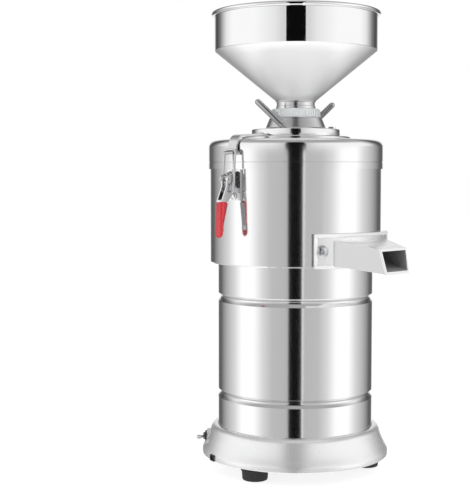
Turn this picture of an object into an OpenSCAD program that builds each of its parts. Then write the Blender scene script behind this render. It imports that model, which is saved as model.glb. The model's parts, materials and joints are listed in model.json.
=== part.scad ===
// Nut butter grinder: an upright mill with a hopper on top, two stones under a
// screw adjuster, a motor in the lower shell and a cast spout at the front.
// Z is up, the origin is on the machine's axis at the floor, and the spout
// points along -Y. Bearings are turned from -Y towards +X.

/* [Base] */
// Height of the rubber feet
foot_h = 15; // [8:0.5:30]
// Radius of a foot at its top
foot_r = 13.25; // [9:0.25:14]
// Inset of the feet from the edge of the bottom plate
foot_inset = 0.1; // [0:0.1:6]
// Radius of the base casting at its rim
base_r = 92.9; // [91:0.1:110]
// Height of the base casting
base_h = 29.6; // [26:0.2:50]
// Wall of the base casting
base_wall = 4; // [3:0.25:6]
// Thickness of the bottom plate
plate_t = 2; // [1:0.25:3]

/* [Motor shell] */
// Outer radius of the motor shell
shell_r = 77.2; // [76:0.1:79]
// Height of the shell above its seat in the base
shell_h = 165.4; // [160:0.2:200]
// Sheet thickness of the shell
shell_t = 1.2; // [0.8:0.1:2]
// Height of the lower bead above the shell's foot
bead_low = 35.8; // [20:0.2:60]
// Height of the upper bead above the shell's foot
bead_high = 131.5; // [90:0.5:145]
// Depth of a bead
bead_d = 2.5; // [1:0.1:3]

/* [Motor] */
// Radius of the stator core
stator_r = 60; // [54:0.5:64]
// Length of the stator core
stator_h = 66; // [50:1:72]
// Radius of the rotor core
rotor_r = 33; // [26:0.5:36]
// Air gap between rotor and stator
air_gap = 0.5; // [0.3:0.05:1]
// Radius of the shaft in its bearings
shaft_r = 8; // [7:0.25:9]
// Radial running clearance of the shaft
run_clear = 0.05; // [0.03:0.01:0.09]

/* [Grinder housing] */
// Outer radius of the grinder housing
house_r = 85; // [82:0.1:88]
// Height of the grinder housing
house_h = 92.4; // [88:0.2:120]
// Sheet thickness of the housing and the lid
house_t = 1.5; // [1:0.1:2]
// Overhang of the lid beyond the housing
lid_over = 1.5; // [1:0.1:4]
// Height of the lid
lid_h = 28.5; // [22:0.5:40]
// Radius of the lid's shoulder
lid_corner = 7; // [4:0.5:10]

/* [Head] */
// Radius of the head disc
disc_r = 54; // [50:0.5:64]
// Thickness of the head disc
disc_t = 3; // [2:0.25:5]
// Radius of the screwed sleeve's bore in the head
neck_r = 40; // [38:0.25:42]
// Radius of the adjusting ring
ring_r = 43.9; // [42.5:0.1:45]
// Thickness of the adjusting ring
ring_t = 7; // [5:0.25:12]
// Diameter of the handle rods
rod_d = 6; // [4:0.25:8]
// Length of a handle rod
rod_l = 40.5; // [25:0.5:45]
// Lean of the rods from the horizontal
rod_lean = 43; // [38:1:50]

/* [Feed] */
// Height of the feed cone
feed_h = 11.1; // [8:0.1:20]
// Radius of the feed cone's foot
feed_r = 30.3; // [28:0.1:34]
// Radius of the bore that the product falls through
throat_r = 16; // [12:0.25:16.5]
// Outer radius of the ring nut
nut_r = 24.5; // [23.5:0.1:28]
// Height of the ring nut
nut_h = 8.7; // [7:0.1:14]
// Number of grip ribs on the ring nut
nut_ribs = 48; // [24:2:60]

/* [Hopper] */
// Outer radius of the hopper's cylinder
hopper_r = 80.5; // [60:0.5:100]
// Slope of the hopper's cone from the horizontal
cone_slope = 39; // [34:1:50]
// Height of the hopper's cylinder
hopper_cyl = 37.6; // [20:0.5:60]
// Radius of the hopper's rolled lip
lip_r = 2.2; // [1.4:0.1:3]
// Sheet thickness of the hopper
hopper_t = 1.2; // [0.8:0.1:2]
// Height of the neck between ring nut and cone
hopper_neck = 7; // [4:0.25:15]

/* [Spout] */
// Width of the spout's flange at each side of the duct
flange_side = 12.2; // [11:0.1:16]
// Height of the flange
flange_h = 32.4; // [29:0.2:45]
// Thickness of the flange
flange_t = 5; // [3:0.25:7]
// Width of the duct at the flange
duct_w = 78; // [60:1:84]
// Height of the duct
duct_h = 23; // [20:0.25:24]
// Width of the mouth
mouth_w = 35; // [28:1:45]
// Reach of the mouth's lower lip from the axis
mouth_reach = 127.5; // [118:0.5:150]
// Drop of the mouth below the flange end
mouth_drop = 6.4; // [3:0.2:9]
// Wall of the duct
duct_t = 2; // [1.5:0.25:4]

/* [Latches] */
// Width of the hook strap
strap_w = 11.2; // [10:0.1:15]
// Thickness of the hook strap
strap_t = 2; // [1.5:0.1:2.4]
// Radius of the bail's wire
bail_r = 1.1; // [1:0.05:1.4]
// Throw of the lever between its pivot and the bail
throw = 12; // [10.5:0.25:13]
// Length of the red grip
grip_l = 34; // [28:1:40]
// Width of the red grip at its top
grip_w = 8.5; // [8.25:0.25:12]

/* [Hidden] */
$fn = 96;

// Small clearances and places
gap = 0.3;
seat = 0.05;
lid_r = house_r + lid_over;

// Levels of the outer stack
base_z = foot_h - 1;
plate_z = foot_h;
base_top = base_z + base_h;
shell_z = base_top - 3.6;
shell_top = shell_z + shell_h;
house_z = shell_top;
house_top = house_z + house_h;
lid_top = house_top + lid_h;
disc_z = lid_top + gap;
disc_top = disc_z + disc_t;
ring_z = disc_top + 0.4;
ring_top = ring_z + ring_t;
feed_top = ring_top + feed_h;
nut_z = feed_top + gap;
nut_top = nut_z + nut_h;
cone_z = nut_top + gap + hopper_neck;
cone_r0 = 19;
cone_h = (hopper_r - cone_r0) * tan(cone_slope);
cyl_z = cone_z + cone_h;
rim_z = cyl_z + hopper_cyl;

// Points on an arc in a profile, and a strip of even thickness along points
function arc(cx, cy, r, a0, a1, n = 8) =
  [for (i = [0:n]) let (a = a0 + (a1 - a0) * i / n) [cx + r * cos(a), cy + r * sin(a)]];
function curve(a, b, c, n) =
  [for (i = [1:n - 1]) let (t = i / n) a * (1 - t) * (1 - t) + b * 2 * t * (1 - t) + c * t * t];
function unit(v) = v / norm(v);
function side(p, i) =
  let (a = p[max(i - 1, 0)], b = p[min(i + 1, len(p) - 1)], d = unit(b - a)) [-d[1], d[0]];
function strip(p, t) = concat(
  [for (i = [0:len(p) - 1]) p[i] + side(p, i) * t / 2],
  [for (i = [len(p) - 1:-1:0]) p[i] - side(p, i) * t / 2]);

module ring(ri, ro, z0, z1) {
  translate([0, 0, z0]) difference() {
    cylinder(r = ro, h = z1 - z0);
    translate([0, 0, -1]) cylinder(r = ri, h = z1 - z0 + 2);
  }
}

// Turns a piece drawn along -Y to a bearing
module bearing_at(b) {
  rotate([0, 0, b]) children();
}

// A pin along the radius, drawn outward along -Y from y = -r0
module radial_pin(r, r0, r1, z) {
  translate([0, -r0, z]) rotate([90, 0, 0]) cylinder(r = r, h = r1 - r0);
}

// ---- base ----
boss_bearings = [-80, 40, 160];
screw_turn = 75;
notch_bearing = -107;
notch_w = 8;
notch_h = 6;
switch_bearing = -138;
switch_z = base_z + base_h * 0.47;
switch_face = base_r - 4.4;
deck_t = 4;
deck_top = shell_z;
deck_ri = 46;
foot_screw_r = 2.5;
plate_r = base_r - base_wall - 4;
foot_pitch_r = plate_r - foot_r - foot_inset;
plate_screw_r = 1.8;
plate_screw_pitch = plate_r - 5;

module base_outline() {
  polygon(concat(
    [[deck_ri, base_z + base_h - 3.6], [deck_ri, base_z + base_h - 3.6 - deck_t]],
    [[shell_r - 5, base_top - 3.6 - deck_t], [shell_r - 3.5, base_top - 3.6 - deck_t - 2]],
    [[base_r - base_wall - 3, plate_z + plate_t + 1.2], [base_r - base_wall - 3, plate_z + plate_t]],
    [[plate_r + gap, plate_z + plate_t], [plate_r + gap, base_z]],
    arc(base_r - 1, base_z + 1, 1, -90, 0, 4),
    arc(base_r - 4, base_z + 4, 4, 0, 27, 4),
    curve([base_r - 0.5, base_z + 6], [base_r - 6, base_z + base_h * 0.5], [shell_r + 6.7, base_top - 3.6], 8),
    arc(shell_r + 0.8, base_top - 6.6, 6.6, 27, 90, 6),
    [[shell_r + gap, base_top], [shell_r + gap, base_top - 3.6]]));
}

module base_casting() {
  color("gainsboro") difference() {
    union() {
      rotate_extrude() base_outline();
      for (b = boss_bearings) bearing_at(b) translate([0, -foot_pitch_r, plate_z + plate_t])
        cylinder(r = 8, h = deck_top - deck_t - plate_z - plate_t + 1);
      for (b = boss_bearings) bearing_at(b + screw_turn) translate([0, -plate_screw_pitch, plate_z + plate_t])
        cylinder(r = 5, h = 8);
      // Flat boss that the switch sits on
      bearing_at(switch_bearing) radial_pin(8, base_r - 14, switch_face, switch_z);
    }
    for (b = boss_bearings) bearing_at(b) translate([0, -foot_pitch_r, 0])
      cylinder(r = foot_screw_r - 0.4, h = plate_z + plate_t + 12);
    for (b = boss_bearings) bearing_at(b + screw_turn) translate([0, -plate_screw_pitch, 0])
      cylinder(r = plate_screw_r - 0.3, h = plate_z + plate_t + 6);
    bearing_at(switch_bearing) radial_pin(switch_thread_r + seat, base_r - 30, base_r + 5, switch_z);
    bearing_at(switch_bearing) radial_pin(8, switch_face, base_r + 5, switch_z);
    // Room for the switch's body behind its boss
    bearing_at(switch_bearing) translate([-switch_w / 2 - 1, -(switch_face - 3), switch_z - switch_hh / 2 - 1])
      cube([switch_w + 2, 30, switch_hh + 2]);
    // Notch for the cord's grommet
    bearing_at(notch_bearing) translate([-notch_w / 2, -base_r - 5, base_z - 1])
      cube([notch_w, 25, notch_h + 1]);
  }
}

module base_bottom_plate() {
  color("dimgray") difference() {
    translate([0, 0, plate_z]) cylinder(r = plate_r, h = plate_t);
    for (b = boss_bearings) bearing_at(b) translate([0, -foot_pitch_r, plate_z - 1])
      cylinder(r = foot_screw_r + 0.3, h = plate_t + 2);
    for (b = boss_bearings) bearing_at(b + screw_turn) translate([0, -plate_screw_pitch, plate_z - 1])
      cylinder(r = plate_screw_r + 0.3, h = plate_t + 2);
    // Air slots under the motor
    for (i = [0:7]) rotate([0, 0, i * 45 + 22.5]) translate([22, -2, plate_z - 1])
      cube([24, 4, plate_t + 2]);
    bearing_at(notch_bearing) translate([-notch_w / 2 - 1, -plate_r - 5, plate_z - 1])
      cube([notch_w + 2, 12, plate_t + 2]);
  }
}

module plate_screws() {
  color("silver") for (b = boss_bearings) bearing_at(b + screw_turn)
    translate([0, -plate_screw_pitch, plate_z]) {
      translate([0, 0, -1.6]) cylinder(r = 3.4, h = 1.6);
      translate([0, 0, -0.8]) cylinder(r = plate_screw_r - 0.35, h = plate_t + 6);
    }
}

module rubber_feet() {
  color("black") for (b = boss_bearings) bearing_at(b) translate([0, -foot_pitch_r, 0])
    rotate_extrude() polygon(concat(
      [[6, 0], [foot_r - 2.5, 0]],
      arc(foot_r - 2.5, 1.5, 1.5, -80, 0, 4),
      [[foot_r, foot_h], [foot_screw_r + gap, foot_h], [foot_screw_r + gap, 6], [6, 6]]));
}

module foot_screws() {
  color("silver") for (b = boss_bearings) bearing_at(b) translate([0, -foot_pitch_r, 0]) {
    translate([0, 0, 3]) cylinder(r = 5, h = 3);
    translate([0, 0, 5]) cylinder(r = foot_screw_r - 0.45, h = plate_z + plate_t + 6);
  }
}

module cord_grommet() {
  color("black") bearing_at(notch_bearing) difference() {
    union() {
      translate([-notch_w / 2 + 0.1, -base_r + 0.4, base_z + 0.1]) cube([notch_w - 0.2, 7.5, notch_h - 0.2]);
      translate([-notch_w / 2 + 0.1, -base_r - 1.2, base_z + 0.1]) cube([notch_w - 0.2, 2, notch_h - 0.2]);
    }
    radial_pin(2.1, base_r - 12, base_r + 5, base_z + notch_h / 2);
  }
}

// ---- switch ----
switch_thread_r = 3.4;
switch_w = 8;
switch_hh = 12;
switch_d = 16;
switch_pivot = switch_face + 2;
switch_tilt = 13;
bat_l = 9;

module switch_body() {
  color("dimgray") bearing_at(switch_bearing) difference() {
    union() {
      translate([-switch_w / 2, -(switch_face - 3.1), switch_z - switch_hh / 2]) cube([switch_w, switch_d, switch_hh]);
      radial_pin(switch_thread_r, switch_face - 5, switch_face + 4, switch_z);
    }
    translate([0, -(switch_pivot - 3.5), switch_z]) rotate([90, 0, 0])
      cylinder(r = 2.7, h = 3.5);
    translate([0, -switch_pivot, switch_z]) rotate([90, 0, 0])
      cylinder(r1 = 2.2, r2 = 3, h = 3);
  }
}

module switch_nut() {
  color("black") bearing_at(switch_bearing) difference() {
    radial_pin(5.6, switch_face, switch_face + 2, switch_z);
    radial_pin(switch_thread_r + seat, switch_face - 1, switch_face + 3, switch_z);
  }
}

module switch_lever() {
  color("silver") bearing_at(switch_bearing) translate([0, -switch_pivot, switch_z])
    rotate([90 + switch_tilt, 0, 0]) {
      rotate_extrude() polygon(concat(
        [[0, -2.2]], [[1.4, -1.6], [1.4, 3], [1.5, 4]],
        arc(0, bat_l - 2.5, 2.5, 10, 90, 6)));
      // Cross pin that the lever rocks on
      rotate([0, 90, 0]) cylinder(r = 0.8, h = 3.3, center = true);
    }
}

// ---- motor shell ----
function bead_line(r, z, d) = [[r, z - 4], [r - d * 0.25, z - 3.2], [r - d * 0.75, z - 1.8],
  [r - d, z - 0.6], [r - d, z + 0.6], [r - d * 0.75, z + 1.8], [r - d * 0.25, z + 3.2], [r, z + 4]];
function flip(p) = [for (i = [len(p) - 1:-1:0]) p[i]];

module motor_shell() {
  zl = shell_z + bead_low;
  zh = shell_z + bead_high;
  color("silver") rotate_extrude() polygon(concat(
    [[shell_r, shell_z]], bead_line(shell_r, zl, bead_d), bead_line(shell_r, zh, bead_d),
    [[shell_r, shell_top], [shell_r - 7, shell_top], [shell_r - 7, shell_top - shell_t],
    [shell_r - shell_t, shell_top - shell_t]],
    flip(bead_line(shell_r - shell_t, zh, bead_d)), flip(bead_line(shell_r - shell_t, zl, bead_d)),
    [[shell_r - shell_t, shell_z]]));
}

// ---- motor ----
lower_z = deck_top;
hub_r = 20;
bearing_ro = 17.5;
bearing_h = 12;
lower_hub_h = 16;
stator_z = lower_z + 28;
stator_top = stator_z + stator_h;
upper_z = stator_top - 4;
upper_h = 30;
upper_top = upper_z + upper_h;
end_wall = 4;
frame_r = stator_r + 4;
tie_r = 2.5;
tie_pitch = stator_r - 5;
stator_bore = rotor_r + air_gap;
coil_ri = stator_bore + 0.12 * (stator_r - stator_bore);
coil_ro = stator_r - 0.34 * (stator_r - stator_bore);

module lower_end_shield() {
  color("lightgray") difference() {
    rotate_extrude() polygon([
      [bearing_ro, lower_z], [deck_ri + 12, lower_z], [frame_r, lower_z], [frame_r, stator_z + 4],
      [stator_r + seat, stator_z + 4], [stator_r + seat, stator_z], [stator_r - 3, stator_z],
      [stator_r - 3, lower_z + end_wall], [hub_r + 2, lower_z + end_wall], [hub_r + 2, lower_z + lower_hub_h],
      [shaft_r + 2, lower_z + lower_hub_h], [shaft_r + 2, lower_z + bearing_h], [bearing_ro, lower_z + bearing_h]]);
    for (a = [0:90:270]) rotate([0, 0, a + 45]) translate([tie_pitch, 0, lower_z - 1])
      cylinder(r = tie_r + 0.3, h = 40);
    for (a = [0:60:300]) rotate([0, 0, a + 15]) translate([38, 0, lower_z - 1])
      cylinder(r = 6, h = end_wall + 2);
  }
}

module upper_end_shield() {
  color("lightgray") difference() {
    rotate_extrude() polygon([
      [shaft_r + 2, upper_top], [hub_r + 2, upper_top], [hub_r + 2, upper_top - 6],
      [frame_r, upper_top - 6], [frame_r, upper_z],
      [stator_r + seat, upper_z], [stator_r + seat, stator_top], [stator_r - 3, stator_top],
      [stator_r - 3, upper_top - 6 - end_wall], [hub_r + 2, upper_top - 6 - end_wall],
      [hub_r + 2, upper_top - 3 - bearing_h],
      [bearing_ro, upper_top - 3 - bearing_h], [bearing_ro, upper_top - 3], [shaft_r + 2, upper_top - 3]]);
    for (a = [0:90:270]) rotate([0, 0, a + 45]) translate([tie_pitch, 0, upper_z - 1])
      cylinder(r = tie_r + 0.3, h = 40);
    for (a = [0:60:300]) rotate([0, 0, a + 15]) translate([38, 0, upper_top - 20])
      cylinder(r = 6, h = 30);
  }
}

module stator_core() {
  color("gray") difference() {
    translate([0, 0, stator_z]) cylinder(r = stator_r, h = stator_h);
    translate([0, 0, stator_z - 1]) cylinder(r = stator_bore, h = stator_h + 2);
    for (a = [0:90:270]) rotate([0, 0, a + 45]) translate([tie_pitch, 0, stator_z - 1])
      cylinder(r = tie_r + 0.3, h = stator_h + 2);
  }
}

module winding_ring(z0, z1) {
  rotate_extrude() polygon(concat(
    arc(coil_ri + 3, z0 + 3, 3, 180, 270, 3), arc(coil_ro - 3, z0 + 3, 3, 270, 360, 3),
    arc(coil_ro - 3, z1 - 3, 3, 0, 90, 3), arc(coil_ri + 3, z1 - 3, 3, 90, 180, 3)));
}

module stator_windings() {
  color("peru") {
    winding_ring(stator_z - 14, stator_z);
    winding_ring(stator_top, stator_top + 14);
  }
}

module tie_bolts() {
  color("silver") for (a = [0:90:270]) rotate([0, 0, a + 45]) translate([tie_pitch, 0, 0]) {
    translate([0, 0, lower_z]) cylinder(r = tie_r, h = upper_top - 6 - lower_z);
    translate([0, 0, upper_top - 6]) cylinder(r = 4.4, h = 3);
  }
}

// Flat capacitor on the bottom plate, sized from the room under the deck
cap_bearing = 78;
cap_w = 42;
cap_h = (deck_top - deck_t - plate_z - plate_t) * 0.74;
cap_out = shell_r - 6.3;
cap_d = 22;

module run_capacitor() {
  color("white") bearing_at(cap_bearing) {
    translate([0, -cap_out + cap_d / 2, plate_z + plate_t]) linear_extrude(cap_h)
      polygon(concat(arc(cap_w / 2 - 2, 2 - cap_d / 2, 2, -90, 0, 3), arc(cap_w / 2 - 2, cap_d / 2 - 2, 2, 0, 90, 3),
        arc(2 - cap_w / 2, cap_d / 2 - 2, 2, 90, 180, 3), arc(2 - cap_w / 2, 2 - cap_d / 2, 2, 180, 270, 3)));
    // Two flat terminals
    for (s = [-1, 1]) translate([s * 6 - 2.4, -cap_out + cap_d / 2 - 0.4, plate_z + plate_t + cap_h - 0.1])
      cube([4.8, 0.8, 3.2]);
  }
}

module bearing_solid(z) {
  ring(shaft_r + run_clear, bearing_ro - seat, z, z + bearing_h - 0.1);
}
module lower_bearing() { color("silver") bearing_solid(lower_z); }
module upper_bearing() { color("silver") bearing_solid(upper_top - 3 - bearing_h); }

module rotor_core() {
  color("gray") {
    ring(shaft_r + 3, rotor_r, stator_z, stator_top);
    ring(rotor_r - 12, rotor_r - 1, stator_z - 6, stator_z);
    ring(rotor_r - 12, rotor_r - 1, stator_top, stator_top + 6);
  }
}

fan_z = upper_top + 6;
fan_r = 66;
fan_h = 14;
shaft_step = shaft_r - 1;

module motor_shaft() {
  color("silver") rotate_extrude() polygon([
    [0, lower_z - 1], [shaft_r - 1, lower_z - 1], [shaft_r, lower_z], [shaft_r, fan_z + fan_h + 2],
    [shaft_step, fan_z + fan_h + 3], [shaft_step, stone_top - 6], [0, stone_top - 6]]);
  // Lands that carry the rotor's laminations
  color("silver") ring(shaft_r - 0.5, shaft_r + 2.95, stator_z, stator_top);
}

module cooling_fan() {
  color("black") {
    ring(shaft_r + run_clear / 2, 14, fan_z, fan_z + fan_h);
    ring(13.9, fan_r, fan_z, fan_z + 2);
    for (i = [0:11]) rotate([0, 0, i * 30]) translate([24, -1, fan_z + 1.9])
      cube([fan_r - 26, 2, fan_h - 2]);
  }
}

// ---- grinder housing ----
house_ri = house_r - house_t;
flange_ri = shell_r - 7.2;
port_w = duct_w - 6;
port_h = duct_h - 2 * duct_t;
bowl_floor = house_z + 4;
bowl_under = house_z - 2;
bowl_ri = house_ri - 8.5;
bowl_ro = house_ri - 3.5;
bowl_top = house_z + house_h * 0.6926;

module housing_cut(extra) {
  translate([-duct_w / 2 - extra, -house_r - 5, bowl_floor - duct_t - extra])
    cube([duct_w + 2 * extra, 30, duct_h + 2 * extra]);
}

module grinder_housing() {
  color("silver") difference() {
    rotate_extrude() polygon([
      [flange_ri, house_z], [house_r - 1.2, house_z], [house_r, house_z + 1.2], [house_r, house_top],
      [house_ri, house_top], [house_ri, house_z + house_t], [flange_ri, house_z + house_t]]);
    housing_cut(0.4);
    for (s = [-1, 1]) bearing_at(s * screw_bearing) radial_pin(spout_screw_r + 0.3, house_r - 6, house_r + 4, flange_mid);
  }
}

module grinding_bowl() {
  color("gainsboro") difference() {
    rotate_extrude() polygon(concat(
      [[shaft_step + 6, bowl_under], [flange_ri - gap, bowl_under],
      [flange_ri - gap, house_z + house_t], [bowl_ro, house_z + house_t],
      [bowl_ro, bowl_top], [bowl_ri, bowl_top], [bowl_ri, bowl_floor + 3]],
      arc(bowl_ri - 3, bowl_floor + 3, 3, 0, -90, 4),
      [[shaft_step + 12, bowl_floor], [shaft_step + 12, bowl_floor + 1.5], [shaft_step + 6, bowl_floor + 1.5]]));
    translate([-port_w / 2, -bowl_ro - 5, bowl_floor]) cube([port_w, 45, port_h]);
    for (s = [-1, 1]) bearing_at(s * screw_bearing) radial_pin(spout_screw_r + seat, bowl_ri + 1, bowl_ro + 5, flange_mid);
  }
}

module shaft_seal() {
  color("black") ring(shaft_step + run_clear, shaft_step + 6, bowl_under, bowl_floor + 1.4);
}

// ---- grinding set ----
flinger_z = bowl_floor + 2;
flinger_r = bowl_ri - 9;
stone_z = bowl_floor + 22;
stone_h = 24;
stone_top = stone_z + stone_h;
stone_r = 32;
stone_tip_r = 19;
stone_gap = 0.4;
sleeve_ro = neck_r - gap;
sleeve_ri = neck_r - 4;
sleeve_z = stone_z + 2;
cone_run = (stone_r - stone_tip_r) / stone_h;

module flinger() {
  color("silver") {
    ring(shaft_step + run_clear / 2, 13, flinger_z, stone_z);
    ring(12.9, flinger_r, flinger_z, flinger_z + 3);
    ring(12.9, stone_r, stone_z - 4, stone_z);
    for (i = [0:5]) rotate([0, 0, i * 60 + 15]) translate([stone_r - 8, -2, flinger_z + 2.9])
      cube([flinger_r - stone_r + 6, 4, 11]);
  }
}

module rotating_stone() {
  lean = atan(cone_run);
  color("burlywood") difference() {
    rotate_extrude() polygon([
      [shaft_step + run_clear / 2, stone_z], [stone_r, stone_z], [stone_tip_r, stone_top],
      [12, stone_top], [12, stone_top - 6], [shaft_step + run_clear / 2, stone_top - 6]]);
    // Slanting furrows in the cone
    for (i = [0:11]) rotate([0, 0, i * 30]) translate([stone_r, 0, stone_z])
      rotate([0, -lean, 0]) translate([-1.2, -1.2, -8]) cube([6, 2.4, stone_h + 14]);
  }
}

module stone_bolt() {
  color("silver") {
    translate([0, 0, stone_top - 6]) cylinder(r = 11, h = 2);
    translate([0, 0, stone_top - 4]) cylinder(r = 8, h = 5, $fn = 6);
  }
}

module stone_carrier() {
  color("silver") rotate_extrude() polygon([
    [sleeve_ri, sleeve_z], [sleeve_ro, sleeve_z], [sleeve_ro, disc_top - 1],
    [sleeve_ri, disc_top - 1], [sleeve_ri, stone_top + 7], [throat_r + 4, stone_top + 5],
    [throat_r + 4, stone_top + 2], [sleeve_ri, stone_top + 2]]);
}

module fixed_stone() {
  g = stone_gap / cos(atan(cone_run));
  color("burlywood") rotate_extrude() polygon([
    [stone_r + g - (sleeve_z - stone_z) * cone_run, sleeve_z], [sleeve_ri - seat, sleeve_z],
    [sleeve_ri - seat, stone_top + 1.9], [stone_tip_r + g, stone_top + 1.9],
    [stone_tip_r + g, stone_top]]);
}

// ---- lid and head ----
lid_ri = lid_r - house_t;
lid_bore = neck_r + 6.5;
hem_h = 6;
neck_ro = neck_r + 6;
cover_r = bowl_ro;
cover_t = 6;

module housing_lid() {
  c = lid_corner;
  color("silver") rotate_extrude() polygon(concat(
    [[lid_ri, house_top], [lid_r, house_top], [lid_r, house_top + hem_h],
    [lid_r - 0.4, house_top + hem_h + 0.3], [lid_r - 0.4, house_top + hem_h + 0.7],
    [lid_r, house_top + hem_h + 1]],
    arc(lid_r - c, lid_top - c, c, 0, 90, 8),
    [[lid_bore, lid_top], [lid_bore, lid_top - house_t]],
    arc(lid_r - c, lid_top - c, c - house_t, 90, 0, 8),
    [[lid_ri, house_top + 1.5], [house_ri - 1.5, house_top + 1.5], [house_ri - 1.5, house_top - 4],
    [house_ri - seat, house_top - 4], [house_ri - seat, house_top]]));
}

module head_disc() {
  color("silver") rotate_extrude() polygon([
    [neck_r, bowl_top], [cover_r, bowl_top], [cover_r, bowl_top + cover_t], [neck_ro, bowl_top + cover_t + 4],
    [neck_ro, disc_z], [disc_r - 0.6, disc_z], [disc_r, disc_z + 0.6], [disc_r, disc_top - 0.6],
    [disc_r - 0.6, disc_top], [neck_r, disc_top]]);
}

// ---- adjuster ----
ring_hub_z = disc_top - 8;

module adjusting_ring() {
  color("silver") difference() {
    rotate_extrude() polygon(concat(
      [[throat_r + 1, ring_hub_z], [sleeve_ri - 0.08, ring_hub_z], [sleeve_ri - 0.08, ring_z],
      [ring_r - 0.5, ring_z], [ring_r, ring_z + 0.5]],
      arc(ring_r - 1, ring_top - 1, 1, 0, 90, 3),
      [[throat_r + 1, ring_top]]));
    for (b = rod_bearings) at_rod(b) translate([0, 0, -8]) cylinder(r = rod_d / 2 - 0.8, h = 12);
    for (b = bolt_bearings) bearing_at(b) translate([0, -bolt_pitch, ring_top - 6]) cylinder(r = 2.2, h = 8);
  }
}

rod_bearings = [0, 180];
rod_foot = [-10.2, -35.6];
rod_view = -48;
bolt_bearings = [55, 175];
bolt_pitch = 37.5;

// Places a rod, drawn up along Z, at its foot on the ring and leans it over
module at_rod(b) {
  rotate([0, 0, rod_view + b]) translate([rod_foot[0], rod_foot[1], ring_top])
    rotate([0, 0, -16]) rotate([0, rod_lean - 90, 0]) children();
}

module handle_rods() {
  color("silver") for (b = rod_bearings) difference() {
    at_rod(b) rotate_extrude() polygon(concat(
      [[0, -7], [rod_d / 2 - 0.85, -7], [rod_d / 2 - 0.85, 0.4], [rod_d / 2 - 0.8, 2.5], [rod_d / 2, 6]],
      arc(0, rod_l - rod_d / 2, rod_d / 2, 0, 90, 6)));
  }
}

module feed_cone() {
  thread_r = nut_r - 3.5;
  color("gainsboro") rotate_extrude() polygon([
    [neck_spigot + gap, ring_top], [feed_r + 1, ring_top], [feed_r + 1, ring_top + 0.6],
    [feed_r - 0.4, ring_top + 1.6], [feed_r - 4.3, feed_top], [thread_r, feed_top],
    [thread_r, feed_top + nut_h - 3], [neck_spigot + gap, feed_top + nut_h - 3]]);
}

module ring_bolts() {
  color("silver") for (b = bolt_bearings) bearing_at(b) translate([0, -bolt_pitch, 0]) {
    translate([0, 0, ring_top - 5]) cylinder(r = 2.15, h = 6);
    translate([0, 0, ring_top]) cylinder(r = 4, h = 3, $fn = 6);
  }
}

module ring_nut() {
  thread_r = nut_r - 3.5;
  color("whitesmoke") difference() {
    union() {
      rotate_extrude() polygon([
        [thread_r + 0.08, nut_z], [nut_r - 0.8, nut_z], [nut_r - 0.8, nut_top - 0.6], [nut_r - 1.4, nut_top],
        [neck_spigot + gap, nut_top], [neck_spigot + gap, nut_top - 2.6], [thread_r + 0.08, nut_top - 2.6]]);
      for (i = [0:nut_ribs - 1]) rotate([0, 0, i * 360 / nut_ribs]) translate([nut_r - 1.6, -0.75, nut_z + 0.6])
        cube([1.6, 1.5, nut_h - 1.8]);
    }
  }
}

// ---- hopper ----
neck_spigot = throat_r + 1.6;
spigot_z = ring_top - 2;

cone_dt = hopper_t / cos(cone_slope);
seam_z = cone_z + cone_dt + (throat_r - cone_r0) * tan(cone_slope);

// Turned tube that the cone is welded to
module hopper_neck_tube() {
  color("silver") rotate_extrude() polygon([
    [throat_r, spigot_z + 3], [neck_spigot, spigot_z + 3], [neck_spigot, nut_top + gap],
    [cone_r0 + 0.6, nut_top + gap], [cone_r0 + 0.6, nut_top + 2.6], [cone_r0, nut_top + 3], [cone_r0, cone_z],
    [throat_r, seam_z]]);
}

module hopper() {
  t = hopper_t;
  color("silver") rotate_extrude() polygon(concat(
    [[throat_r, seam_z], [cone_r0, cone_z]],
    [[hopper_r - 0.5, cyl_z - 0.2], [hopper_r, cyl_z + 0.6]],
    [[hopper_r, rim_z - lip_r - 1]],
    arc(hopper_r + lip_r - t - 0.1, rim_z - lip_r, lip_r, -110, 90, 10),
    arc(hopper_r + lip_r - t - 0.1, rim_z - lip_r, lip_r, 100, 180, 4),
    [[hopper_r - t, cyl_z + 0.4]]));
}

// ---- spout ----
flange_z = house_z - 0.4;
flange_mid = flange_z + flange_h / 2;
flange_top = flange_z + flange_h;
gasket_t = 1;
flange_ri_s = house_r + gasket_t;
flange_ro = flange_ri_s + flange_t;
flange_half = asin((duct_w / 2 + flange_side) / house_r);
screw_bearing = asin((duct_w / 2 + flange_side * 0.51) / house_r);
spout_screw_r = 2.5;
duct_z0 = bowl_floor - duct_t;
duct_root = flange_ri_s - 2;
mouth_lean = 5.5;

module sector(half, r, z0, z1) {
  translate([0, 0, z0]) linear_extrude(z1 - z0)
    polygon([[0, 0], [-r * tan(half), -r], [r * tan(half), -r]]);
}

module duct_solid(inset, back, front) {
  w0 = duct_w / 2 - inset;
  w1 = mouth_w / 2 - inset;
  e = 1 + front / (mouth_reach - duct_root);
  y_low = duct_root + (mouth_reach - duct_root) * e;
  y_top = duct_root + (mouth_reach - mouth_lean - duct_root) * e;
  w_end = w0 + (w1 - w0) * (y_low - duct_root + 4) / (mouth_reach - duct_root + 4);
  intersection() {
    translate([0, 0, duct_z0 - 20]) linear_extrude(duct_h + 40)
      polygon([[-w0, -back], [w0, -back], [w0, -duct_root + 4], [w_end, -y_low], [-w_end, -y_low], [-w0, -duct_root + 4]]);
    rotate([90, 0, 90]) translate([0, 0, -w0 - 1]) linear_extrude(2 * w0 + 2)
      polygon([[-back + 1, duct_z0 + inset], [-back + 1, duct_z0 + duct_h - inset],
        [-duct_root, duct_z0 + duct_h - inset],
        [-y_top, duct_z0 + duct_h - mouth_drop * e - inset],
        [-y_low, duct_z0 - mouth_drop * e + inset], [-duct_root, duct_z0 + inset]]);
  }
}

module spout() {
  color("gainsboro") difference() {
    duct_solid(0, 60, 0);
    translate([0, 0, duct_z0 - 20]) cylinder(r = bowl_ro + gap, h = duct_h + 40);
    duct_solid(duct_t, 40, 4);
  }
}

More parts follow.
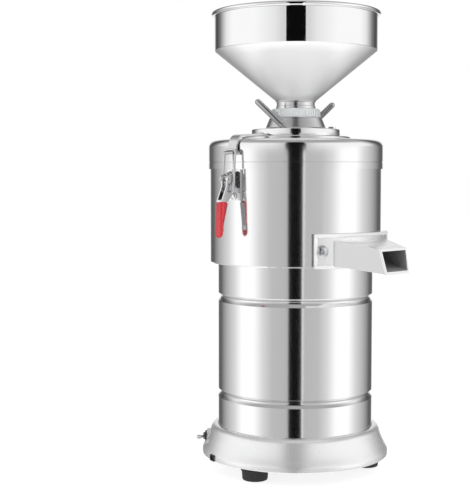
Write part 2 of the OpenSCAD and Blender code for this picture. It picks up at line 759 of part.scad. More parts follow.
module spout_flange() {
  color("gainsboro") difference() {
    intersection() {
      ring(flange_ri_s, flange_ro, flange_z, flange_top);
      sector(flange_half, 120, flange_z - 1, flange_top + 1);
    }
    duct_solid(-seat, 60, 0);
    for (s = [-1, 1]) bearing_at(s * screw_bearing)
      radial_pin(spout_screw_r + 0.3, house_r - 5, flange_ro + 5, flange_mid);
  }
}

module spout_gasket() {
  color("black") difference() {
    intersection() {
      ring(house_r, flange_ri_s, flange_z + 1, flange_top - 1);
      sector(flange_half - 0.7, 120, flange_z, flange_top);
    }
    housing_cut(0.6);
    for (s = [-1, 1]) bearing_at(s * screw_bearing)
      radial_pin(spout_screw_r + 0.3, house_r - 5, flange_ro + 5, flange_mid);
  }
}

module spout_screws() {
  color("silver") for (s = [-1, 1]) bearing_at(s * screw_bearing) difference() {
    union() {
      radial_pin(spout_screw_r, bowl_ri + 2, flange_ro + 0.5, flange_mid);
      translate([0, -flange_ro, flange_mid]) rotate([90, 0, 0]) rotate_extrude()
        polygon(concat([[0, 0], [4.8, 0], [4.8, 0.8]], arc(0, -5.5, 8.4, 46, 90, 5)));
    }
    for (a = [0, 90]) translate([0, -flange_ro - 1, flange_mid]) rotate([0, a, 0])
      translate([-2.4, -4, -0.5]) cube([4.8, 4, 1]);
  }
}

// ---- hook straps ----
// A latch is drawn along +X, with its profile in X and Z
trough_r = 3.4;
strap_wall = lid_r + 0.8 + strap_t / 2;
bar_r = strap_wall + trough_r;
bar_z = lid_top - 10.8;
strap_bend = 10.3;
strap_end_z = disc_top + strap_t / 2;
latch_sides = [180, 0];

module profile(w) {
  rotate([90, 0, 0]) linear_extrude(w, center = true) children();
}

module hook_straps() {
  color("silver") for (a = latch_sides) rotate([0, 0, a]) difference() {
    profile(strap_w) polygon(strip(concat(
      [[ring_r + 1.8, strap_end_z], [disc_r + 1, strap_end_z],
      [strap_wall - strap_bend, lid_top + 2.2 + strap_t / 2]],
      arc(strap_wall - strap_bend, lid_top - 7.1 + strap_t / 2, strap_bend - 1, 84, 12, 6),
      [[strap_wall, lid_top - 8]],
      arc(bar_r, bar_z, trough_r, 180, 330, 12)), strap_t));
    translate([disc_r - 5, 0, disc_z]) cylinder(r = rivet_r + seat, h = 10);
  }
}

rivet_r = 1.8;
module strap_rivets() {
  color("silver") for (a = latch_sides) rotate([0, 0, a]) translate([disc_r - 5, 0, disc_top]) {
    cylinder(r = rivet_r, h = strap_t + 0.2);
    translate([0, 0, strap_t]) rotate_extrude() polygon(concat([[0, 0], [3.4, 0]], arc(0, -3, 4.5, 42, 90, 4)));
  }
}

// ---- latches ----
plate_w = 17;
bracket_t = 2;
plate_angle = asin(plate_w / 2 / house_r);
pivot_r = house_r + 11;
pivot_z = house_top - 9.8;
pin_r = 1.8;
pin_room = 0.7;
ear_t = 1.2;
lever_half = strap_w / 2 + gap - pin_room - ear_t - gap;
ear_in = lever_half + gap;
bail_half = ear_in + ear_t + pin_room + bail_r;
bail_pin = [pivot_r - 1, pivot_z - sqrt(throw * throw - 1)];
bracket_low = pivot_z - 20;
bracket_high = house_top - 0.6;

module latch_brackets() {
  color("silver") for (a = latch_sides) rotate([0, 0, a]) difference() {
    union() {
      translate([0, 0, bracket_low]) linear_extrude(bracket_high - bracket_low) polygon(concat(
        [[house_r + bracket_t, -plate_w / 2], [house_r + bracket_t, plate_w / 2]],
        arc(0, 0, house_r + seat + 0.02, plate_angle, -plate_angle, 8)));
      for (s = [-1, 1]) translate([0, s * (ear_in + ear_t / 2), 0]) profile(ear_t) polygon(concat(
        [[house_r + bracket_t - 0.8, pivot_z - 8]], arc(pivot_r, pivot_z, 4.4, -70, 90, 8),
        [[house_r + bracket_t - 0.8, pivot_z + 8]]));
    }
    translate([pivot_r, 0, pivot_z]) rotate([90, 0, 0]) cylinder(r = pin_r + seat, h = 40, center = true);
    for (z = [bracket_low + 4, bracket_high - 4]) translate([house_r - 5, 0, z]) rotate([0, 90, 0])
      cylinder(r = rivet_r + seat, h = 12);
  }
}

module bracket_rivets() {
  color("silver") for (a = latch_sides, z = [bracket_low + 4, bracket_high - 4])
    rotate([0, 0, a]) translate([house_r + 0.1, 0, z]) rotate([0, 90, 0]) {
      cylinder(r = rivet_r, h = bracket_t);
      translate([0, 0, bracket_t]) cylinder(r1 = 3, r2 = 2, h = 1.2);
    }
}

// Middle of the grip's outer face at its top, and the way it runs
grip_top = [pivot_r + 11.2, pivot_z - 21];
grip_dir = [0.035, -0.999];
grip_d = 9.2;
web_t = 1.2;
tongue = [-0.9, -2.5];
function grip_at(s) = grip_top + grip_dir * s;

module lever() {
  n = [-grip_dir[1], grip_dir[0]];
  color("silver") difference() {
    union() {
      difference() {
        profile(2 * lever_half) polygon(concat(
          arc(pivot_r, pivot_z, 4, 20, 175, 8),
          [bail_pin + [-4, -1], bail_pin + [-1, -4.5], grip_at(0) - n * (grip_d - 0.8), grip_at(0) - n * 0.8,
          [pivot_r + 3.6, pivot_z - 6]]));
        // The channel opens outward between its two webs
        profile(2 * (lever_half - web_t)) polygon([
          [pivot_r - 2.4, pivot_z + 8], [pivot_r - 2.4, pivot_z], bail_pin + [-2.3, -0.3], bail_pin + [0.4, -2.8],
          grip_at(-1.5) - n * (grip_d - 2.8), grip_at(-1.5) + n * 6, [pivot_r + 16, pivot_z + 8]]);
      }
      // Tongue inside the grip
      profile(2 * lever_half - 2) polygon([
        grip_at(-1.6) + n * tongue[0], grip_at(grip_l - 6) + n * tongue[0],
        grip_at(grip_l - 6) + n * tongue[1], grip_at(-1.6) + n * tongue[1]]);
    }
    translate([pivot_r, 0, pivot_z]) rotate([90, 0, 0]) cylinder(r = pin_r + seat, h = 40, center = true);
    translate([bail_pin[0], 0, bail_pin[1]]) rotate([90, 0, 0]) cylinder(r = bail_r + seat, h = 40, center = true);
  }
}

module grip() {
  n = [-grip_dir[1], grip_dir[0]];
  w = grip_w / 2;
  wide = w + 0.5;
  color("red") difference() {
    intersection() {
      profile(2 * wide + 2) polygon([
        grip_at(0), grip_at(0) - n * grip_d, grip_at(grip_l * 0.7) - n * 3.6, grip_at(grip_l - 2.5) - n * 3.6,
        grip_at(grip_l) - n * 2.5, grip_at(grip_l) - n * 1.1, grip_at(grip_l - 2.5)]);
      translate([grip_top[0] - 30, 0, 0]) rotate([90, 0, 90]) linear_extrude(60) polygon(concat(
        [[w, grip_at(grip_l * 0.62)[1]], [w, grip_top[1] + 1], [-w, grip_top[1] + 1], [-w, grip_at(grip_l * 0.62)[1]]],
        arc(0, grip_at(grip_l - wide)[1], wide, 180, 360, 12)));
    }
    profile(2 * lever_half - 2 + 0.1) polygon([
      grip_at(-4) + n * (tongue[0] + seat), grip_at(grip_l - 5.9) + n * (tongue[0] + seat),
      grip_at(grip_l - 5.9) + n * (tongue[1] - seat), grip_at(-4) + n * (tongue[1] - seat)]);
  }
}

module pivot_pin() {
  half = ear_in + ear_t;
  color("silver") translate([pivot_r, 0, pivot_z]) rotate([90, 0, 0]) {
    cylinder(r = pin_r, h = 2 * half, center = true);
    for (s = [0, 1]) mirror([0, 0, s]) translate([0, 0, half]) cylinder(r = 2.9, h = 0.35);
  }
}

module bail() {
  leg = [bail_pin[0] - bar_r, bail_pin[1] - bar_z];
  len = norm(leg);
  tilt = atan2(-leg[0], -leg[1]);
  bend = 2;
  color("silver") translate([bar_r, 0, bar_z]) rotate([0, tilt, 0]) {
    rotate([90, 0, 0]) cylinder(r = bail_r, h = 2 * (bail_half - bend), center = true);
    for (s = [0, 1]) mirror([0, s, 0]) {
      translate([0, bail_half - bend, -bend]) rotate([0, -90, 0]) rotate([0, 0, 0])
        rotate_extrude(angle = 90) translate([bend, 0]) circle(r = bail_r);
      translate([0, bail_half, -len + bend]) cylinder(r = bail_r, h = len - 2 * bend);
      translate([0, bail_half - bend, -len + bend]) rotate([0, -90, 0]) rotate([0, 0, 90])
        rotate_extrude(angle = 90) translate([bend, 0]) circle(r = bail_r);
      translate([0, bail_half - bend, -len]) rotate([90, 0, 0]) cylinder(r = bail_r, h = bail_half - bend - lever_half + web_t);
    }
  }
}

module lever_left() { rotate([0, 0, latch_sides[0]]) lever(); }
module grip_left() { rotate([0, 0, latch_sides[0]]) grip(); }
module pivot_pin_left() { rotate([0, 0, latch_sides[0]]) pivot_pin(); }
module bail_left() { rotate([0, 0, latch_sides[0]]) bail(); }
module lever_right() { rotate([0, 0, latch_sides[1]]) lever(); }
module grip_right() { rotate([0, 0, latch_sides[1]]) grip(); }
module pivot_pin_right() { rotate([0, 0, latch_sides[1]]) pivot_pin(); }
module bail_right() { rotate([0, 0, latch_sides[1]]) bail(); }

base_casting();
base_bottom_plate();
plate_screws();
rubber_feet();
foot_screws();
cord_grommet();
switch_body();
switch_nut();
switch_lever();
motor_shell();
lower_end_shield();
upper_end_shield();
stator_core();
stator_windings();
tie_bolts();
run_capacitor();
lower_bearing();
upper_bearing();
rotor_core();
motor_shaft();
cooling_fan();
grinder_housing();
grinding_bowl();
shaft_seal();
flinger();
rotating_stone();
stone_bolt();
stone_carrier();
fixed_stone();
housing_lid();
head_disc();
hook_straps();
strap_rivets();
adjusting_ring();
handle_rods();
feed_cone();
ring_bolts();
ring_nut();
hopper_neck_tube();  // hopper_neck
hopper();
spout();
spout_flange();
spout_gasket();
spout_screws();
latch_brackets();
bracket_rivets();
lever_left();
grip_left();
pivot_pin_left();
bail_left();
lever_right();
grip_right();
pivot_pin_right();
bail_right();
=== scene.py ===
"""Nut butter grinder, dressed for a plain studio photograph.

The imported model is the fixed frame. Each sub-assembly is a class that gives
its pieces their finishes and adds the details that are too fine for the
construction model.
"""

from __future__ import annotations

import json
import logging
import math
from dataclasses import dataclass
from enum import Enum
from functools import partial
from typing import Iterable, Sequence

import bmesh
import bpy
from mathutils import Matrix, Vector

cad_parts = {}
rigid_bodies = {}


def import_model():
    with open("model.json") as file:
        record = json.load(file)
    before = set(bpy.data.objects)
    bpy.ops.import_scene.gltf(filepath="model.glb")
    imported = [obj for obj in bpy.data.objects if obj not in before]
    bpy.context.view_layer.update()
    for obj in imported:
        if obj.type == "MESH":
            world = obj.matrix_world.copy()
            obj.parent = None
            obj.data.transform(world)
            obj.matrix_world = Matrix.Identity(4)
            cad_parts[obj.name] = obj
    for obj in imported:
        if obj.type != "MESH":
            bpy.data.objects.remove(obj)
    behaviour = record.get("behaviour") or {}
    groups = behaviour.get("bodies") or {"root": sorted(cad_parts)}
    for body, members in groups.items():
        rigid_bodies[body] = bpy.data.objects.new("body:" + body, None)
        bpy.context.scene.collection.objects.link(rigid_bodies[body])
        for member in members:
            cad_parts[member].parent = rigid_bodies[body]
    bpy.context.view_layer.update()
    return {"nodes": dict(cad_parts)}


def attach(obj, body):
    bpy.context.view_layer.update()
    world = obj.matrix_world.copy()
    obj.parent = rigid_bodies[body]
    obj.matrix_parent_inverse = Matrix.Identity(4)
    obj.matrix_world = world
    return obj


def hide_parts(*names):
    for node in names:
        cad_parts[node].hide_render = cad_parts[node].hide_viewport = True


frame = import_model()

LOG = logging.getLogger("grinder")
MM = 0.001
Point2 = tuple[float, float]
Rgb = tuple[float, float, float]


class Bearing(Enum):
    """Directions round the machine, in degrees from the spout towards +X."""

    CAMERA = -48.0
    BACK = 132.0


def toward(bearing: float) -> Vector:
    """Returns the unit vector that points at a bearing in degrees."""
    a = math.radians(bearing)
    return Vector((math.sin(a), -math.cos(a), 0.0))


def steps_round(count: int) -> list[float]:
    """Returns the angles of even steps round a full turn."""
    return [2 * math.pi * k / count for k in range(count)]


def rounded(x: float, power: float) -> float:
    """Returns a signed power, which squares a circle's section off."""
    return math.copysign(abs(x) ** power, x)


# ---- node groups


def feed(tree: bpy.types.NodeTree, socket: bpy.types.NodeSocket, item: object) -> None:
    """Links an input to a socket, or sets it to a constant."""
    if isinstance(item, bpy.types.NodeSocket):
        tree.links.new(item, socket)
    else:
        socket.default_value = item


def math_node(tree: bpy.types.NodeTree, operation: str, *items: object) -> bpy.types.NodeSocket:
    """Returns the output of a new Math node on sockets or numbers."""
    n = tree.nodes.new("ShaderNodeMath")
    n.operation = operation
    for socket, item in zip(n.inputs, items):
        feed(tree, socket, item)
    return n.outputs[0]


def map_node(
    tree: bpy.types.NodeTree, value: bpy.types.NodeSocket, source: Point2, target: Point2 = (0.0, 1.0)
) -> bpy.types.NodeSocket:
    """Returns a value mapped and clamped from one span to another."""
    n = tree.nodes.new("ShaderNodeMapRange")
    tree.links.new(value, n.inputs["Value"])
    for label, number in zip(("From Min", "From Max", "To Min", "To Max"), (*source, *target)):
        n.inputs[label].default_value = number
    return n.outputs["Result"]


def mix_node(
    tree: bpy.types.NodeTree, share: bpy.types.NodeSocket, under: object, over: object
) -> bpy.types.NodeSocket:
    """Returns a mix of two colours, each a socket or a constant."""
    n = tree.nodes.new("ShaderNodeMix")
    n.data_type = "RGBA"
    for i, item in ((0, share), (6, under), (7, over)):
        feed(tree, n.inputs[i], item)
    return n.outputs[2]


class GroupBuilder:
    """Builds one shader node group with named sockets."""

    def __init__(self, name: str) -> None:
        """Starts an empty shader group called name."""
        self.tree = bpy.data.node_groups.new(name, "ShaderNodeTree")
        self.entry = self.tree.nodes.new("NodeGroupInput")
        self.exit = self.tree.nodes.new("NodeGroupOutput")

    def value(self, name: str, default: float) -> None:
        """Adds a float input."""
        s = self.tree.interface.new_socket(name=name, in_out="INPUT", socket_type="NodeSocketFloat")
        s.default_value = default

    def vector(self, name: str) -> None:
        """Adds a vector input."""
        self.tree.interface.new_socket(name=name, in_out="INPUT", socket_type="NodeSocketVector")

    def result(self, name: str) -> None:
        """Adds a float output."""
        self.tree.interface.new_socket(name=name, in_out="OUTPUT", socket_type="NodeSocketFloat")

    def node(self, kind: str, **settings: object) -> bpy.types.Node:
        """Adds a node and sets its properties."""
        n = self.tree.nodes.new(kind)
        for key, val in settings.items():
            setattr(n, key, val)
        return n

    def link(self, a: bpy.types.NodeSocket, b: bpy.types.NodeSocket) -> None:
        """Joins two sockets."""
        self.tree.links.new(a, b)

    def math(self, operation: str, *items: object) -> bpy.types.NodeSocket:
        """Adds a Math node on sockets or numbers and returns its output."""
        return math_node(self.tree, operation, *items)


def build_wear_group() -> bpy.types.NodeTree:
    """Returns a group that marks worn edges and faint rubbed patches."""
    g = GroupBuilder("edge_wear")
    g.vector("Vector")
    g.value("Amount", 0.5)
    g.value("Scale", 60.0)
    g.result("Mask")
    geo = g.node("ShaderNodeNewGeometry")
    ridge = map_node(g.tree, geo.outputs["Pointiness"], (0.52, 0.62))
    noise = g.node("ShaderNodeTexNoise")
    noise.inputs["Detail"].default_value = 4.0
    g.link(g.entry.outputs["Vector"], noise.inputs["Vector"])
    g.link(g.entry.outputs["Scale"], noise.inputs["Scale"])
    edge = g.math("MULTIPLY", ridge, noise.outputs["Fac"])
    g.link(g.math("MULTIPLY", edge, g.entry.outputs["Amount"]), g.exit.inputs["Mask"])
    return g.tree


def build_grain_group() -> bpy.types.NodeTree:
    """Returns a group of fine stretched grain, for brushed or spun metal."""
    g = GroupBuilder("stretched_grain")
    g.vector("Vector")
    g.value("Across", 400.0)
    g.value("Along", 8.0)
    g.result("Height")
    g.result("Streak")
    split = g.node("ShaderNodeSeparateXYZ")
    g.link(g.entry.outputs["Vector"], split.inputs[0])
    x, y, z = split.outputs
    turn = g.math("ARCTAN2", y, x)
    rad = g.math("SQRT", g.math("ADD", g.math("MULTIPLY", x, x), g.math("MULTIPLY", y, y)))
    run = g.math("ADD", z, g.math("MULTIPLY", rad, 0.7))
    join = g.node("ShaderNodeCombineXYZ")
    g.link(g.math("MULTIPLY", turn, g.entry.outputs["Along"]), join.inputs[0])
    g.link(g.math("MULTIPLY", run, g.entry.outputs["Across"]), join.inputs[1])
    noise = g.node("ShaderNodeTexNoise")
    noise.inputs["Scale"].default_value = 1.0
    noise.inputs["Detail"].default_value = 3.0
    g.link(join.outputs[0], noise.inputs["Vector"])
    g.link(noise.outputs["Fac"], g.exit.inputs["Height"])
    wide = g.node("ShaderNodeTexNoise")
    wide.inputs["Scale"].default_value = 0.12
    g.link(join.outputs[0], wide.inputs["Vector"])
    g.link(wide.outputs["Fac"], g.exit.inputs["Streak"])
    return g.tree


def build_sand_group() -> bpy.types.NodeTree:
    """Returns a group of fine cast or moulded texture."""
    g = GroupBuilder("sand_texture")
    g.vector("Vector")
    g.value("Scale", 900.0)
    g.result("Height")
    g.result("Cloud")
    fine = g.node("ShaderNodeTexNoise")
    fine.inputs["Detail"].default_value = 3.0
    g.link(g.entry.outputs["Vector"], fine.inputs["Vector"])
    g.link(g.entry.outputs["Scale"], fine.inputs["Scale"])
    g.link(fine.outputs["Fac"], g.exit.inputs["Height"])
    cloud = g.node("ShaderNodeTexNoise")
    cloud.inputs["Scale"].default_value = 25.0
    cloud.inputs["Detail"].default_value = 2.0
    g.link(g.entry.outputs["Vector"], cloud.inputs["Vector"])
    g.link(cloud.outputs["Fac"], g.exit.inputs["Cloud"])
    return g.tree


class Groups:
    """The shared node groups, made once."""

    wear = build_wear_group()
    grain = build_grain_group()
    sand = build_sand_group()


# ---- finishes


@dataclass(frozen=True)
class Finish:
    """A surface finish that becomes one material.

    Attributes:
        name: Material name.
        colour: Linear base colour.
        rough: Roughness in the middle of its range.
        metallic: 1 for metal, 0 otherwise.
        spread: How far the roughness wanders.
        shade: How far the colour wanders, as a share.
        bump: Height of the fine texture in metres.
        scale: Scale of the fine texture.
        spun: True for grain that runs round the axis.
        wear: Strength of bright worn edges.
        coat: Clear coat weight.
        ior: Index of refraction.
        specular: Specular level.
        satin_below: Height under which a polished sheet is brushed instead and takes a painted shade where it turns
            away from view.
        satin_rough: Roughness of the brushed part.
        satin_metal: Metallic value of the brushed part.
    """

    name: str
    colour: Rgb
    rough: float
    metallic: float = 0.0
    spread: float = 0.05
    shade: float = 0.04
    bump: float = 0.0
    scale: float = 900.0
    spun: bool = False
    wear: float = 0.0
    coat: float = 0.0
    ior: float = 1.5
    specular: float = 0.5
    satin_below: float = 0.0
    satin_rough: float = 0.3
    satin_metal: float = 0.4

    def material(self) -> bpy.types.Material:
        """Returns the finish's material, built the first time it is asked for."""
        done = bpy.data.materials.get(self.name)
        if done:
            return done
        mat = bpy.data.materials.new(self.name)
        mat.use_nodes = True
        tree = mat.node_tree
        bsdf = tree.nodes["Principled BSDF"]
        bsdf.inputs["Metallic"].default_value = self.metallic
        bsdf.inputs["IOR"].default_value = self.ior
        bsdf.inputs["Specular IOR Level"].default_value = self.specular
        bsdf.inputs["Coat Weight"].default_value = self.coat
        bsdf.inputs["Coat Roughness"].default_value = 0.08
        coord = tree.nodes.new("ShaderNodeTexCoord").outputs["Object"]
        texture = tree.nodes.new("ShaderNodeGroup")
        texture.node_tree = Groups.grain if self.spun else Groups.sand
        tree.links.new(coord, texture.inputs["Vector"])
        texture.inputs["Across" if self.spun else "Scale"].default_value = self.scale
        wander = texture.outputs["Streak" if self.spun else "Cloud"]
        satin = self._satin_mask(tree, coord)
        if satin is not None:
            metal = map_node(tree, satin, (0.0, 1.0), (self.metallic, self.satin_metal))
            tree.links.new(metal, bsdf.inputs["Metallic"])
        self._spread(tree, wander, bsdf, satin)
        self._tint(tree, wander, coord, bsdf, satin)
        if self.bump:
            bump = tree.nodes.new("ShaderNodeBump")
            bump.inputs["Distance"].default_value = self.bump
            bump.inputs["Strength"].default_value = 1.0
            height = texture.outputs["Height"]
            if satin is not None:
                height = math_node(tree, "MULTIPLY", height, satin)
            tree.links.new(height, bump.inputs["Height"])
            tree.links.new(bump.outputs["Normal"], bsdf.inputs["Normal"])
        return mat

    def _satin_mask(self, tree: bpy.types.NodeTree, coord: bpy.types.NodeSocket) -> bpy.types.NodeSocket | None:
        """Returns a mask that is 1 under the height where the brushing ends; it also bounds the painted shade that
        _tint adds.
        """
        if not self.satin_below:
            return None
        split = tree.nodes.new("ShaderNodeSeparateXYZ")
        tree.links.new(coord, split.inputs[0])
        soft = 0.3 * MM
        return map_node(tree, split.outputs[2], (self.satin_below - soft, self.satin_below + soft), (1.0, 0.0))

    def _spread(
        self,
        tree: bpy.types.NodeTree,
        mask: bpy.types.NodeSocket,
        bsdf: bpy.types.Node,
        satin: bpy.types.NodeSocket | None,
    ) -> None:
        """Lets the roughness wander with a mask, and raises it where the sheet is brushed."""
        span = (max(self.rough - self.spread, 0.01), self.rough + self.spread)
        rough = map_node(tree, mask, (0.3, 0.7), span)
        if satin is not None:
            rough = math_node(tree, "MULTIPLY_ADD", satin, self.satin_rough, rough)
        tree.links.new(rough, bsdf.inputs["Roughness"])

    def _tint(
        self,
        tree: bpy.types.NodeTree,
        mask: bpy.types.NodeSocket,
        coord: bpy.types.NodeSocket,
        bsdf: bpy.types.Node,
        satin: bpy.types.NodeSocket | None,
    ) -> None:
        """Shades the base colour with a mask, lightens worn edges and paints shade on brushed sheet where it turns away
        from view.
        """
        low = [c * (1 - self.shade) for c in self.colour]
        high = [min(c * (1 + self.shade), 1.0) for c in self.colour]
        result = mix_node(tree, mask, (*low, 1.0), (*high, 1.0))
        if self.wear:
            worn = tree.nodes.new("ShaderNodeGroup")
            worn.node_tree = Groups.wear
            worn.inputs["Amount"].default_value = self.wear
            tree.links.new(coord, worn.inputs["Vector"])
            rubbed = [min(c * 1.6 + 0.08, 1.0) for c in self.colour]
            result = mix_node(tree, worn.outputs["Mask"], result, (*rubbed, 1.0))
        if satin is not None:
            # Painted shade: brushed sheet is darkened towards its silhouette, where it turns away from the camera.
            facing = tree.nodes.new("ShaderNodeLayerWeight")
            painted_shade_fall = map_node(tree, facing.outputs["Facing"], (0.40, 0.90))
            dark = [c * 0.24 for c in self.colour]
            result = mix_node(tree, math_node(tree, "MULTIPLY", painted_shade_fall, satin), result, (*dark, 1.0))
        tree.links.new(result, bsdf.inputs["Base Color"])


POLISHED = Finish("polished_steel", (0.86, 0.86, 0.865), 0.035, 1.0, spread=0.012, shade=0.012, spun=True, scale=900.0)
# Below satin_below the hopper's cone is brushed and carries a painted shade towards its silhouette.
HOPPER_SHEET = Finish(
    "hopper_sheet", (0.84, 0.84, 0.845), 0.045, 1.0, spread=0.015, shade=0.012, spun=True, scale=1400.0,
    bump=0.00002, satin_below=0.4142, satin_rough=0.30,
)
CONE = Finish("turned_cone_steel", (0.60, 0.60, 0.605), 0.24, 1.0, spread=0.05, bump=0.00001, scale=5000.0, spun=True)
ROD = Finish("polished_rod_steel", (0.46, 0.46, 0.47), 0.10, 1.0, spread=0.03)
STRAP = Finish("pressed_strap_steel", (0.56, 0.56, 0.57), 0.18, 1.0, spread=0.05, wear=0.3)
TURNED = Finish("turned_steel", (0.70, 0.70, 0.705), 0.20, 1.0, spread=0.05, bump=0.00001, scale=5000.0, spun=True)
SATIN_DISC = Finish(
    "satin_disc_steel", (0.72, 0.72, 0.72), 0.18, 1.0, spread=0.05, bump=0.00001, scale=2600.0, spun=True
)
BRIGHT = Finish("bright_plated_steel", (0.70, 0.70, 0.71), 0.16, 1.0, spread=0.05, wear=0.3)
ZINC = Finish("zinc_plated_steel", (0.62, 0.63, 0.65), 0.28, 1.0, spread=0.08, wear=0.4)
CAST_PAINT = Finish(
    "silver_cast_paint", (0.86, 0.86, 0.865), 0.26, 0.6, spread=0.03, bump=0.00004, scale=1500.0, coat=0.1
)
# Painted highlight: a lighter, duller paint on the spout's edge beads, for the bright light on those edges.
HIGHLIGHT_EDGE_PAINT = Finish("painted_highlight_edge", (0.90, 0.90, 0.905), 0.34, 0.1, spread=0.04)
CAST_PLAIN = Finish("cast_aluminium", (0.74, 0.74, 0.74), 0.38, 0.7, spread=0.06, bump=0.00006, scale=1200.0, wear=0.3)
RUBBER = Finish("black_rubber", (0.022, 0.022, 0.023), 0.62, spread=0.08, bump=0.00004, scale=1600.0)
BLACK_PLASTIC = Finish("black_moulding", (0.03, 0.03, 0.032), 0.42, spread=0.06, bump=0.00002)
PALE_PLASTIC = Finish("pale_moulding", (0.66, 0.675, 0.68), 0.40, spread=0.05, bump=0.00002)
RED_GRIP = Finish(
    "red_dipped_grip", (0.60, 0.012, 0.022), 0.20, spread=0.05, shade=0.08, coat=0.5, bump=0.00002, scale=300.0
)
PLATE_PAINT = Finish("dark_plate_paint", (0.10, 0.10, 0.105), 0.5, bump=0.00003, wear=0.4)
LAMINATION = Finish("varnished_laminations", (0.14, 0.14, 0.15), 0.45, 0.8, scale=4000.0, spun=True, bump=0.0001)
COPPER = Finish("enamelled_copper", (0.55, 0.20, 0.07), 0.3, 1.0, scale=2200.0, spun=True, bump=0.0003)
STONE = Finish("bonded_stone", (0.42, 0.39, 0.34), 0.85, spread=0.1, shade=0.2, bump=0.0003, scale=700.0)


# ---- meshes


def dress(names: Iterable[str], finish: Finish) -> None:
    """Gives CAD nodes a finish and softens their shading.

    Args:
        names: Node names.
        finish: The finish that they all take.
    """
    for name in names:
        node = frame["nodes"][name]
        node.data.materials.clear()
        node.data.materials.append(finish.material())
        soften(node)
        LOG.info("dressed %s with %s", name, finish.name)


def build_soft_shading() -> bpy.types.NodeTree:
    """Returns a tree that welds a mesh and smooths it up to a set angle."""
    tree = bpy.data.node_groups.new("soft_shading", "GeometryNodeTree")
    face = tree.interface
    face.new_socket(name="Geometry", in_out="INPUT", socket_type="NodeSocketGeometry")
    limit = face.new_socket(name="Angle", in_out="INPUT", socket_type="NodeSocketFloat")
    limit.default_value = math.radians(26)
    face.new_socket(name="Geometry", in_out="OUTPUT", socket_type="NodeSocketGeometry")
    entry = tree.nodes.new("NodeGroupInput")
    weld = tree.nodes.new("GeometryNodeMergeByDistance")
    weld.inputs["Distance"].default_value = 0.000004
    every = tree.nodes.new("GeometryNodeSetShadeSmooth")
    every.domain = "FACE"
    sharp = tree.nodes.new("GeometryNodeSetShadeSmooth")
    sharp.domain = "EDGE"
    sharp.inputs["Shade Smooth"].default_value = False
    angle = tree.nodes.new("GeometryNodeInputMeshEdgeAngle")
    over = tree.nodes.new("FunctionNodeCompare")
    over.data_type = "FLOAT"
    over.operation = "GREATER_THAN"
    out = tree.nodes.new("NodeGroupOutput")
    link = tree.links.new
    link(entry.outputs["Geometry"], weld.inputs["Geometry"])
    link(weld.outputs["Geometry"], every.inputs["Geometry"])
    link(every.outputs["Geometry"], sharp.inputs["Geometry"])
    link(angle.outputs["Unsigned Angle"], over.inputs[0])
    link(entry.outputs["Angle"], over.inputs[1])
    link(over.outputs["Result"], sharp.inputs["Selection"])
    link(sharp.outputs["Geometry"], out.inputs["Geometry"])
    return tree


SOFT_SHADING = build_soft_shading()


def soften(obj: bpy.types.Object) -> None:
    """Gives an object the shared soft shading."""
    obj.modifiers.new("soft_shading", "NODES").node_group = SOFT_SHADING


def add_mesh(name: str, verts: Sequence[Vector], faces: Sequence[Sequence[int]], finish: Finish) -> bpy.types.Object:
    """Makes one object from world points, with outward faces and its finish.

    Args:
        name: Object name.
        verts: Points in metres, in the machine's frame.
        faces: Corner lists.
        finish: The finish it takes.

    Returns:
        The object, at the origin, linked to the scene.
    """
    mesh = bpy.data.meshes.new(name)
    shape = bmesh.new()
    made = [shape.verts.new(v) for v in verts]
    for face in faces:
        corners = list(dict.fromkeys(face))
        if len(corners) > 2:
            shape.faces.new([made[i] for i in corners])
    bmesh.ops.remove_doubles(shape, verts=shape.verts, dist=1e-7)
    bmesh.ops.recalc_face_normals(shape, faces=shape.faces)
    shape.to_mesh(mesh)
    shape.free()
    mesh.materials.append(finish.material())
    obj = bpy.data.objects.new(name, mesh)
    bpy.context.scene.collection.objects.link(obj)
    soften(obj)
    return obj


def place(obj: bpy.types.Object, body: str, stands_for: Sequence[str] = ()) -> None:
    """Puts a finished piece on its body.

    Args:
        obj: The piece.
        body: Name of the body that it rides on.
        stands_for: CAD nodes that the piece takes the place of.
    """
    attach(obj, body)
    if stands_for:
        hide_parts(*stands_for)
    LOG.info("built %s on %s", obj.name, body)


def wrap_faces(around: int, size: int, closed: bool = True) -> list[tuple[int, ...]]:
    """Returns the faces of sections that stand in a ring.

    Args:
        around: Number of sections, the last joined to the first.
        size: Number of points in each section.
        closed: False for open sections, which end at two poles.

    Returns:
        Corner lists.
    """
    faces = []
    for i in range(around):
        a, b = i * size, (i + 1) % around * size
        faces += [(a + k, b + k, b + (k + 1) % size, a + (k + 1) % size) for k in range(size if closed else size - 1)]
    return faces


def lathe(name: str, profile: Sequence[Point2], finish: Finish, steps: int = 192) -> bpy.types.Object:
    """Spins a closed profile round the machine's axis.

    Args:
        name: Object name.
        profile: Radius and height pairs in millimetres, in order round the section.
        finish: The finish it takes.
        steps: Number of steps round the axis.

    Returns:
        The ring.
    """
    verts = [Vector((r * math.cos(a), r * math.sin(a), z)) * MM for a in steps_round(steps) for r, z in profile]
    return add_mesh(name, verts, wrap_faces(steps, len(profile)), finish)


def loft(name: str, rings: Sequence[Sequence[Vector]], finish: Finish) -> bpy.types.Object:
    """Skins a run of sections and closes both ends with a pole.

    Args:
        name: Object name.
        rings: Sections with the same number of points each.
        finish: The finish they take.

    Returns:
        The skinned solid.
    """
    n = len(rings[0])
    verts = [v for ring in rings for v in ring]
    faces = [
        (i * n + j, i * n + (j + 1) % n, (i + 1) * n + (j + 1) % n, (i + 1) * n + j)
        for i in range(len(rings) - 1) for j in range(n)
    ]
    for ring in (0, len(rings) - 1):
        verts.append(sum(rings[ring], Vector()) / n)
        pole = len(verts) - 1
        faces += [(ring * n + j, ring * n + (j + 1) % n, pole) for j in range(n)]
    return add_mesh(name, verts, faces, finish)


